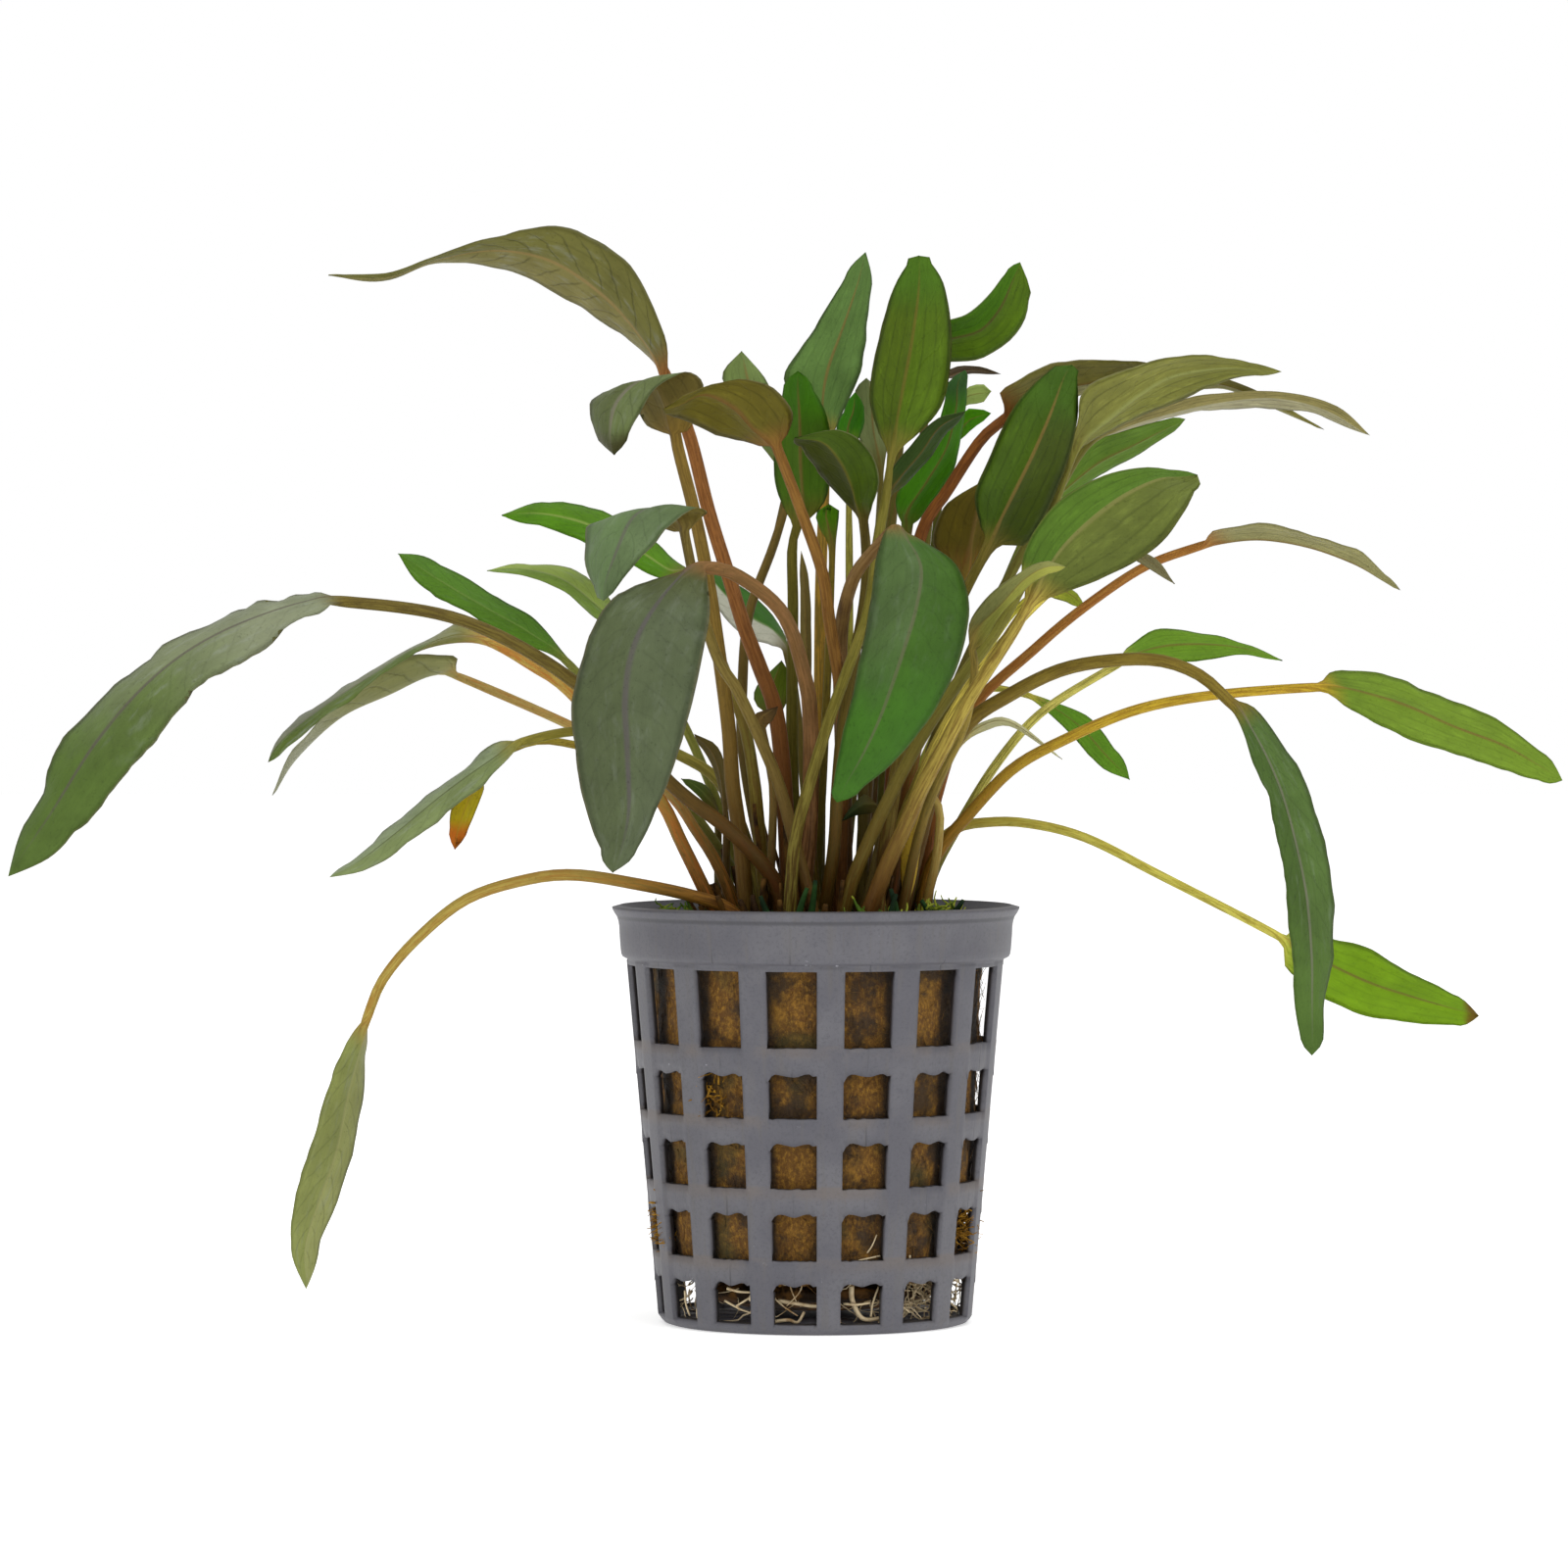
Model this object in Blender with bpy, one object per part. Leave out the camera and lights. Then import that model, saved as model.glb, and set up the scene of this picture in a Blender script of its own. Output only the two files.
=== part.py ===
"""A potted cryptocoryne: a water plant growing out of rock wool in a plastic net pot.

Metres, +Z up. The origin is the centre of the pot's underside, on the surface the pot stands on,
and the front is -Y. Every piece is one closed solid.

The leaves were measured as they appear from one viewpoint in front of the plant. A leaf's points
are (across, up, depth) in millimetres: where the point appears in the upright plane through the
pot's axis, and how far behind that plane it really lies. `place` carries it along the sight line.
"""

import math

import bmesh
import bpy
from mathutils import Vector

MM = 0.001
TURN = 2 * math.pi

# The viewpoint that the leaves were measured from
VIEW_ACROSS = -3.9
VIEW_UP = 84.1
VIEW_DISTANCE = 900.0

# Net pot
RIB_COUNT = 15
RIB_WIDTH = 3.1
FIRST_RIB_DEGREES = 4.3
WALL = 1.0
FOOT_RADIUS = 17.9
WALL_FOOT_RADIUS = 19.2
WALL_TOP_RADIUS = 23.0
WALL_TOP = 44.0
COLLAR_LOW_RADIUS = 23.8
COLLAR_LOW = 45.0
COLLAR_RADIUS = 24.1
COLLAR_HIGH = 48.6
LIP_RADIUS = 25.0
POT_HEIGHT = 51.0
FOOT_ROUNDING_HEIGHT = 1.1
WINDOW_ROWS = ((1.1, 6.1), (9.0, 14.6), (17.7, 23.1), (26.2, 31.5), (34.7, 44.0))
FLOOR_RING_RADII = (16.2, 7.0, 4.0)
COLLAR_ROWS = 3

# Rock wool and the crown that the leaves stand on
WOOL_BOTTOM = 6.2
WOOL_TOP = 46.4
WOOL_CLEARANCE = 0.75
WOOL_EDGE_ROUNDING = 0.8
WOOL_LUMPS = ((0.35, 3, 5), (0.25, 7, -9))
WOOL_SIDES = 20
WOOL_RINGS = 6
CROWN_BOTTOM = 46.7
CROWN_MIDDLE = 47.3
CROWN_TOP = 48.0
CROWN_RADIUS = 17.0
CROWN_LUMPS = ((0.03, 5, 0), (0.02, 8, 1))
CROWN_SIDES = 20

# Leaves: the stalk's flare at its foot, the place of the ring that shapes the base of a blade, the
# blade's thickness, how wide its thick middle is and how it thins toward the tip
FOOT_HEIGHT = CROWN_TOP + 0.3
FOOT_FLARE = 0.4
SHOULDER = 0.5
BLADE_HALF_THICKNESS = 0.42
MIDRIB_SHARE = 0.16
TIP_THINNING = 0.58
STRAIGHT_ENOUGH = 0.2

# The height of a hexagon's upper corners over its half width, and the roots' sections
HEXAGON_HALF_HEIGHT = 0.87
ROOT_PITCH = 1.6
FEWEST_ROOT_SECTIONS = 4
MOST_ROOT_SECTIONS = 14
FINE_STEPS = 24

POT_COLOUR = (0.165, 0.165, 0.190)
WOOL_COLOUR = (0.240, 0.130, 0.035)
CROWN_COLOUR = (0.100, 0.070, 0.030)
ROOT_COLOUR = (0.620, 0.500, 0.330)

# Tones of the leaves: colour, roughness
TONES = {
    "grey_top": ((0.115, 0.150, 0.085), 0.55),
    "green_top": ((0.055, 0.170, 0.035), 0.50),
    "olive": ((0.115, 0.135, 0.025), 0.50),
    "brown_under": ((0.160, 0.115, 0.035), 0.55),
    "sage_under": ((0.330, 0.350, 0.210), 0.60),
    "bright": ((0.085, 0.330, 0.010), 0.50),
    "yellow": ((0.420, 0.300, 0.020), 0.60),
}


def material(name, colour, roughness, metallic=0.0):
    made = bpy.data.materials.new(name)
    made.use_nodes = True
    shader = made.node_tree.nodes["Principled BSDF"]
    shader.inputs["Base Color"].default_value = (*colour, 1.0)
    shader.inputs["Roughness"].default_value = roughness
    shader.inputs["Metallic"].default_value = metallic
    return made


def finish(mesh, name, finish_material):
    """One named object from a bmesh in millimetres, with its faces pointing out."""
    bmesh.ops.recalc_face_normals(mesh, faces=mesh.faces)
    bmesh.ops.scale(mesh, verts=mesh.verts, vec=(MM, MM, MM))
    data = bpy.data.meshes.new(name)
    mesh.to_mesh(data)
    mesh.free()
    data.materials.append(finish_material)
    made = bpy.data.objects.new(name, data)
    bpy.context.scene.collection.objects.link(made)
    return made


def shade_smooth(made):
    for face in made.data.polygons:
        face.use_smooth = True
    return made


def place(point):
    """The real position of a measured (across, up, depth) point, in millimetres."""
    across, up, depth = point
    reach = (VIEW_DISTANCE + depth) / VIEW_DISTANCE
    return Vector((VIEW_ACROSS + (across - VIEW_ACROSS) * reach, depth, VIEW_UP + (up - VIEW_UP) * reach))


def smooth_point(points, parameter):
    """A point on the Catmull-Rom curve through the points, at 0 to len(points) - 1."""
    last = len(points) - 1
    index = min(int(parameter), last - 1)
    share = parameter - index
    start = points[index]
    end = points[index + 1]
    before = points[index - 1] if index > 0 else start * 2 - end
    after = points[index + 2] if index + 2 <= last else end * 2 - start
    return 0.5 * (
        start * 2
        + (end - before) * share
        + (before * 2 - start * 5 + end * 4 - after) * share**2
        + (start * 3 - before - end * 3 + after) * share**3
    )


def even_parameters(points, pitch, least, most):
    """Curve parameters spaced evenly along the curve's length, about one pitch apart."""
    count = FINE_STEPS * (len(points) - 1)
    fine = [(len(points) - 1) * step / count for step in range(count + 1)]
    lengths = [0.0]
    for low, high in zip(fine, fine[1:]):
        lengths.append(lengths[-1] + (smooth_point(points, high) - smooth_point(points, low)).length)
    sections = max(least, min(most, round(lengths[-1] / pitch)))
    found = []
    at = 0
    for section in range(sections + 1):
        goal = lengths[-1] * section / sections
        while at < count - 1 and lengths[at + 1] < goal:
            at += 1
        span = lengths[at + 1] - lengths[at]
        found.append(fine[at] + (fine[at + 1] - fine[at]) * min(1.0, (goal - lengths[at]) / span))
    return found


def loft(mesh, rings, closed_end_point=None):
    """Bridges rings of equal size, caps the first one and brings the last to a cap or a point."""
    rows = [[mesh.verts.new(corner) for corner in ring] for ring in rings]
    sides = len(rows[0])
    for low, high in zip(rows, rows[1:]):
        for side in range(sides):
            other = (side + 1) % sides
            mesh.faces.new((low[side], low[other], high[other], high[side]))
    mesh.faces.new(rows[0])
    if closed_end_point is None:
        mesh.faces.new(rows[-1])
        return
    tip = mesh.verts.new(closed_end_point)
    for side in range(sides):
        mesh.faces.new((rows[-1][side], rows[-1][(side + 1) % sides], tip))


def stalk_ring(centre, side, normal, radius):
    return [
        centre - side * radius,
        centre - side * radius / 2 + normal * radius * HEXAGON_HALF_HEIGHT,
        centre + side * radius / 2 + normal * radius * HEXAGON_HALF_HEIGHT,
        centre + side * radius,
        centre + side * radius / 2 - normal * radius * HEXAGON_HALF_HEIGHT,
        centre - side * radius / 2 - normal * radius * HEXAGON_HALF_HEIGHT,
    ]


def blade_ring(near, middle, far, normal, half_thickness):
    lift = normal * half_thickness
    near_share = middle + (near - middle) * MIDRIB_SHARE
    far_share = middle + (far - middle) * MIDRIB_SHARE
    return [near, near_share + lift, far_share + lift, far, far_share - lift, near_share - lift]


def leaf(name, tone, radius, stalk, blade, tip):
    """One leaf: a tapering round stalk that widens into a thin folded blade and ends in a point.

    The stalk starts at its foot's real (across, depth) place on the crown and goes on through measured
    points. A blade section is three measured points: one edge, the midrib and the other edge.
    """
    foot_across, foot_depth = stalk[0]
    stalk_points = [Vector((foot_across, foot_depth, FOOT_HEIGHT))] + [place(point) for point in stalk[1:]]
    base = stalk_points[-1]
    edges = [[place(section[0:3]), place(section[3:6]), place(section[6:9])] for section in blade]
    first_side = (edges[0][2] - edges[0][0]).normalized()
    rails = []
    for rail, sign in ((0, -1), (1, 0), (2, 1)):
        start = base + first_side * sign * radius
        rails.append([start] + [section[rail] for section in edges] + [place(tip)])

    # The blade's side direction is carried down the stalk, so that the rings don't twist
    side = first_side
    rings = []
    centres = stalk_points + [rails[1][1]]
    for index in reversed(range(len(stalk_points))):
        along = (centres[index + 1] - centres[max(index - 1, 0)]).normalized()
        if index == 0:
            along = Vector((0, 0, 1))
        side = (side - along * side.dot(along)).normalized()
        ring_radius = radius * (1 + FOOT_FLARE * (1 - index / (len(stalk_points) - 1)))
        rings.append(stalk_ring(centres[index], side, along.cross(side), ring_radius))
    rings.reverse()

    normal = (rails[1][1] - base).normalized().cross(first_side)
    blade_at = [0.0, SHOULDER] + [float(index) for index in range(1, len(rails[1]))]
    for index, at in enumerate(blade_at[1:-1], 1):
        near, middle, far = (smooth_point(rail, at) for rail in rails)
        along = smooth_point(rails[1], blade_at[index + 1]) - smooth_point(rails[1], blade_at[index - 1])
        found = along.normalized().cross((far - near).normalized())
        if found.length > STRAIGHT_ENOUGH:
            normal = found.normalized()
        half_thickness = BLADE_HALF_THICKNESS * (1 - TIP_THINNING * index / len(blade_at))
        rings.append(blade_ring(near, middle, far, normal, half_thickness))

    mesh = bmesh.new()
    loft(mesh, rings, rails[1][-1])
    colour, roughness = TONES[tone]
    shade_smooth(finish(mesh, "leaf_" + name, material("leaf_" + name, colour, roughness)))


def root(name, points, radius):
    """A round root through measured points."""
    places = [place(point) for point in points]
    sections = even_parameters(places, ROOT_PITCH, FEWEST_ROOT_SECTIONS, MOST_ROOT_SECTIONS)
    centres = [smooth_point(places, at) for at in sections]
    side = Vector((0, 1, 0))
    rings = []
    for index, centre in enumerate(centres):
        along = (centres[min(index + 1, len(centres) - 1)] - centres[max(index - 1, 0)]).normalized()
        side = (side - along * side.dot(along)).normalized()
        rings.append(stalk_ring(centre, side, along.cross(side), radius))
    mesh = bmesh.new()
    loft(mesh, rings)
    shade_smooth(finish(mesh, name, material(name, ROOT_COLOUR, 0.6)))


def rib_angles():
    """The angles of both sides of every rib, in order round the pot, from the front."""
    half = math.degrees(RIB_WIDTH / 2 / ((WALL_TOP_RADIUS + WALL_FOOT_RADIUS) / 2))
    for rib in range(RIB_COUNT):
        centre = FIRST_RIB_DEGREES + 360 / RIB_COUNT * rib
        yield math.radians(centre - half)
        yield math.radians(centre + half)


def outer_radius(height):
    """The outside of the pot's tapering wall at a height."""
    slope = (WALL_TOP_RADIUS - WALL_FOOT_RADIUS) / (WALL_TOP - FOOT_ROUNDING_HEIGHT)
    return WALL_FOOT_RADIUS + slope * (height - FOOT_ROUNDING_HEIGHT)


def net_pot():
    """The outer face of the basket as a grid of ribs and bands, given its wall by Solidify."""
    # Radius and height of every row of the grid, from the lip down and in under the floor
    rows = [
        (LIP_RADIUS, POT_HEIGHT),
        (COLLAR_RADIUS, COLLAR_HIGH),
        (COLLAR_LOW_RADIUS, COLLAR_LOW),
    ]
    for low, high in reversed(WINDOW_ROWS):
        for height in (high, low):
            rows.append((outer_radius(height), height))
    rows.append((FOOT_RADIUS, 0.0))
    rows += [(radius, 0.0) for radius in FLOOR_RING_RADII]
    first_window = COLLAR_ROWS
    first_floor_ring = len(rows) - len(FLOOR_RING_RADII)

    mesh = bmesh.new()
    angles = list(rib_angles())
    grid = [
        [mesh.verts.new((radius * math.sin(angle), -radius * math.cos(angle), height)) for angle in angles]
        for radius, height in rows
    ]
    for row in range(len(rows) - 1):
        in_wall = first_window <= row < first_window + 2 * len(WINDOW_ROWS)
        is_window_row = in_wall and (row - first_window) % 2 == 0
        is_slot_row = row == first_floor_ring
        for column in range(len(angles)):
            is_rib = column % 2 == 0
            if (is_window_row or is_slot_row) and not is_rib:
                continue
            other = (column + 1) % len(angles)
            mesh.faces.new(
                (grid[row][column], grid[row][other], grid[row + 1][other], grid[row + 1][column])
            )
    mesh.faces.new(grid[-1])
    made = finish(mesh, "net_pot", material("net_pot", POT_COLOUR, 0.45))
    wall = made.modifiers.new("wall", "SOLIDIFY")
    wall.thickness = WALL * MM
    wall.offset = -1
    wall.use_even_offset = True
    return made


def rock_wool():
    """A slightly lumpy plug that fills the basket from just above its floor to under its lip."""
    mesh = bmesh.new()
    rings = []
    for ring in range(WOOL_RINGS + 1):
        share = ring / WOOL_RINGS
        height = WOOL_BOTTOM + (WOOL_TOP - WOOL_BOTTOM) * share
        edge = outer_radius(height) - WALL - WOOL_CLEARANCE
        if ring in (0, WOOL_RINGS):
            edge -= WOOL_EDGE_ROUNDING
        corners = []
        for side in range(WOOL_SIDES):
            angle = TURN * side / WOOL_SIDES
            hollow = sum(
                depth * (1 + math.sin(waves * angle + rise * share)) for depth, waves, rise in WOOL_LUMPS
            )
            reach = edge - hollow
            corners.append(Vector((reach * math.sin(angle), -reach * math.cos(angle), height)))
        rings.append(corners)
    loft(mesh, rings)
    return shade_smooth(finish(mesh, "rock_wool", material("rock_wool", WOOL_COLOUR, 0.95)))


def crown():
    """The short rootstock: a low uneven cushion on the wool, flat on top where the leaves stand."""
    mesh = bmesh.new()
    rings = []
    for height, share in ((CROWN_BOTTOM, 0.97), (CROWN_MIDDLE, 1.0), (CROWN_TOP, 0.94)):
        corners = []
        for side in range(CROWN_SIDES):
            angle = TURN * side / CROWN_SIDES
            lump = sum(size * math.sin(waves * angle + turn) for size, waves, turn in CROWN_LUMPS)
            radius = CROWN_RADIUS * share * (1 + lump)
            corners.append(Vector((radius * math.sin(angle), -radius * math.cos(angle), height)))
        rings.append(corners)
    loft(mesh, rings)
    return finish(mesh, "crown", material("crown", CROWN_COLOUR, 0.85))


def roots():
    root("root_thick_loop", ((4.4, 5.2, -16), (4.4, 4.2, -16.4), (4.5, 2.6, -16.4), (5.6, 0.5, -16.2),
                             (7.2, 0.3, -15.6), (9.0, 0.9, -14.5)), 0.34)
    root("root_arch", ((-6.2, 0.2, -16.0), (-5.6, -0.1, -16.4), (-4.4, 0.1, -16.7), (-3.2, 0.2, -16.7),
                       (-2.2, -0.1, -16.6), (-1.4, 1.2, -16.4)), 0.28)
    root("root_cross", ((-4.6, 2.6, -16.2), (-2.2, 2.2, -16.6), (0.0, 1.9, -16.8), (2.2, 2.3, -16.6)), 0.28)


def left_leaves():
    leaf("far_left_large", "grey_top", 0.71,
         [(-3.4, -8.6), (-5.2, 54.4, -9.6), (-10.7, 60.5, -11.5), (-17.8, 66.1, -12.2), (-29, 78.1, -12),
          (-43, 86, -11.2), (-57.5, 88.4, -9)],
         [(-62.3, 89.5, -6, -63, 88.2, -9, -61, 86.9, -11),
          (-71.5, 87.2, -4, -73, 84.5, -9, -70.7, 81.2, -14),
          (-82, 81.5, -3, -80.8, 79.3, -8, -77.3, 75.9, -13.5),
          (-90.8, 73.4, -3, -87.8, 71.6, -7.5, -83.4, 68.3, -12.5),
          (-95.8, 63.2, -4, -94, 62, -7, -91, 60, -10)],
         (-99.1, 54.7, -7))
    leaf("left_arch_upper", "grey_top", 0.62,
         [(-11.2, -6.4), (-16.2, 58.3, -7.2), (-20, 65.5, -7), (-29.8, 77, -6), (-35, 80.7, -5.5),
          (-39.5, 83.3, -5)],
         [(-42.9, 86.3, -2, -43.5, 83.8, -5, -43.9, 84.6, -8),
          (-47.8, 83.8, -1.5, -48.9, 82.6, -5, -49.8, 82, -8),
          (-54.6, 80.1, -1, -55, 78.9, -5, -55.4, 77.5, -8),
          (-60.7, 75.8, 0, -61.3, 74.7, -5, -61.8, 73.1, -8),
          (-65.1, 72.7, -2, -65.4, 71.3, -5, -65, 70.4, -6)],
         (-67.2, 68.7, -5))
    leaf("left_arch_lower", "olive", 0.53,
         [(-8.8, -3.4), (-12, 56, -3.6), (-14.8, 60.5, -3.4), (-17.8, 64.7, -1.8), (-24, 69.8, 1.5),
          (-30, 73.2, 5),
          (-43, 78.9, 9)],
         [(-44.3, 81.6, 5, -47, 79.5, 9.5, -46.5, 80.5, 13.5),
          (-51, 81.4, 4.5, -52.2, 77.2, 10, -51.7, 79.6, 15),
          (-57.7, 76.6, 6.5, -58.5, 74.2, 10.5, -58, 75.6, 14.5),
          (-63.7, 71, 8, -64, 69, 11, -63.6, 70, 13)],
         (-66.7, 64.6, 10))
    leaf("left_low_folded", "grey_top", 0.56,
         [(-6, 1), (-8.5, 59, 1), (-11.8, 66.2, 1), (-16.7, 69.6, 1), (-24, 72.4, -0.6), (-30, 72.5, -4),
          (-36, 71.2, -8.5)],
         [(-39.6, 70.9, -8, -39, 69.4, -10, -38.4, 68.4, -12),
          (-46, 66.1, -6, -45.2, 65, -10, -43.5, 64, -13),
          (-52.3, 60.6, -6, -51.3, 60, -10, -49.4, 59.2, -13),
          (-57, 56.7, -8, -56.2, 56.3, -10, -54.5, 55.9, -12)],
         (-59.7, 54.6, -10))
    leaf("back_left_high", "bright", 0.53,
         [(-6.3, 5.6), (-11.8, 58, 6.2), (-19.8, 68.5, 11.5), (-30, 80.5, 20)],
         [(-34.3, 86, 25, -35, 84.4, 23, -36.2, 83.4, 21),
          (-40, 89.5, 29, -40.8, 87.7, 26.5, -41.5, 86.3, 24),
          (-46, 93, 31, -46.6, 91.2, 29.5, -47.3, 89.6, 27)],
         (-51.2, 94.3, 32))
    leaf("back_left_top", "bright", 0.62,
         [(-5.9, -2.7), (-7.1, 61.7, -2.4), (-7.7, 67.3, 0), (-9.1, 74.3, 4), (-13.2, 85.3, 11),
          (-15.2, 91.3, 15)],
         [(-17, 93.4, 19, -18.1, 92.2, 17, -19.2, 91.4, 15),
          (-21.2, 96.8, 22, -22.4, 95, 20, -24, 93.6, 18),
          (-27.2, 100, 25, -27.9, 97.7, 22, -29, 95.9, 20),
          (-32.6, 100.6, 26, -33.2, 99, 24, -33.8, 97.7, 22)],
         (-38.5, 99, 25))
    leaf("back_left_middle", "bright", 0.5,
         [(-8.2, 8.6), (-10.8, 60, 10.4), (-16, 73, 15.5), (-22.5, 84, 21)],
         [(-25.8, 89.4, 25, -26.6, 87.6, 23, -26.9, 86.2, 21),
          (-30, 92.3, 29, -31, 91, 26.5, -30.8, 89.6, 25),
          (-35.5, 93.1, 31, -35.8, 92.3, 29.5, -36, 91.7, 28)],
         (-40.3, 92.2, 31))
    leaf("front_left_upper", "grey_top", 0.59,
         [(0.2, -10.2), (-2.9, 60.1, -10.4), (-5, 67.3, -11.2), (-9.6, 77.5, -13.4), (-11.9, 81.1, -14.2),
          (-14.2, 88, -15), (-16, 96.3, -17.5)],
         [(-17.6, 97, -17, -16.3, 98, -18.5, -14.6, 98.2, -19.5),
          (-20.5, 97.7, -15, -17.7, 99.5, -18.5, -13.2, 99.5, -20),
          (-25, 98.2, -15, -20.5, 99.7, -20, -15, 100.1, -22.5),
          (-28.1, 97.7, -17, -22.6, 98.2, -23.5, -18.2, 97.4, -26),
          (-28.1, 93.5, -20, -24.2, 94.7, -26.5, -21.2, 94.1, -28),
          (-27.1, 89.9, -24, -25.7, 90.6, -27, -24.1, 90.7, -28)],
         (-26, 88.5, -26.5))
    leaf("front_left_large", "grey_top", 0.78,
         [(-2.3, -5), (-1, 58, -7), (-0.6, 67.3, -9), (-0.7, 74.3, -12), (-1.3, 78.9, -15), (-4, 86.9, -22),
          (-9.6, 91.6, -28), (-13.6, 92.6, -30)],
         [(-18.2, 91.6, -32, -16.2, 91.8, -32, -13.3, 91.2, -33),
          (-24, 89.4, -34, -20.2, 87, -36, -13, 87.4, -36),
          (-27.8, 83.9, -36, -22.5, 82.3, -39, -13.7, 82.8, -38),
          (-29.7, 76.6, -38, -23.4, 76.6, -41, -14.9, 77.2, -39),
          (-29.6, 69.7, -39, -23.1, 70.3, -42, -16.7, 70.2, -40),
          (-27.8, 61.3, -40, -22.9, 63.1, -42, -19.2, 63.5, -40),
          (-26.3, 57.9, -40, -23.8, 58.3, -41, -22, 58, -40)],
         (-24.9, 55.2, -40))
    leaf("low_left_hanging", "sage_under", 0.59,
         [(-8, -9.5), (-10.8, 50.8, -9.8), (-15.4, 52.4, -10), (-21.5, 53.7, -10), (-29.4, 54.9, -9),
          (-35.6, 54.3, -8), (-42.9, 51.9, -7), (-49, 47, -6), (-53.1, 42.1, -5.5), (-55, 37.6, -5)],
         [(-57.5, 34.6, -7, -56, 33.6, -5, -55.2, 34, -2),
          (-60, 28.5, -8, -57.6, 27.8, -4.5, -55.5, 27.8, -2),
          (-62, 21.5, -8, -59, 21, -4, -56.6, 22, -2),
          (-64, 15, -7, -61.2, 14.6, -4, -58.7, 15, -2),
          (-64.4, 9.5, -5, -62.8, 9, -4, -60.9, 9.7, -3)],
         (-62.6, 4, -4))
    leaf("left_yellow", "yellow", 0.42,
         [(-8.2, 3.4), (-13, 58, 4), (-21, 67.5, 7), (-32, 71.3, 10), (-38, 70, 11), (-40.8, 67.6, 11)],
         [(-44.4, 64, 12, -42.5, 64, 11, -40.8, 65, 10),
          (-44.9, 60.6, 11.5, -43.8, 60.4, 11, -42.6, 60.6, 10.5)],
         (-44.3, 58, 10.5))
    leaf("left_small_dark", "olive", 0.42,
         [(-11, -1), (-11, 56, -1.1), (-11, 61.6, -1.2)],
         [(-12.2, 66.8, -0.6, -11.6, 67, -1.4, -11, 67.3, -2.2),
          (-13.7, 70, -1, -12.8, 70.2, -1.8, -11.9, 70.4, -2.4)],
         (-14.9, 72.2, -2))
    leaf("left_small_green", "green_top", 0.42,
         [(-11.9, 8.9), (-12, 56, 9), (-12.1, 62, 9.2)],
         [(-13, 65.5, 10.4, -13.5, 64.5, 9.6, -13.9, 64, 9.2),
          (-14.6, 66.4, 11, -15, 65.9, 10.4, -15.3, 65.4, 9.8)],
         (-16.5, 66.7, 11))


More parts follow.
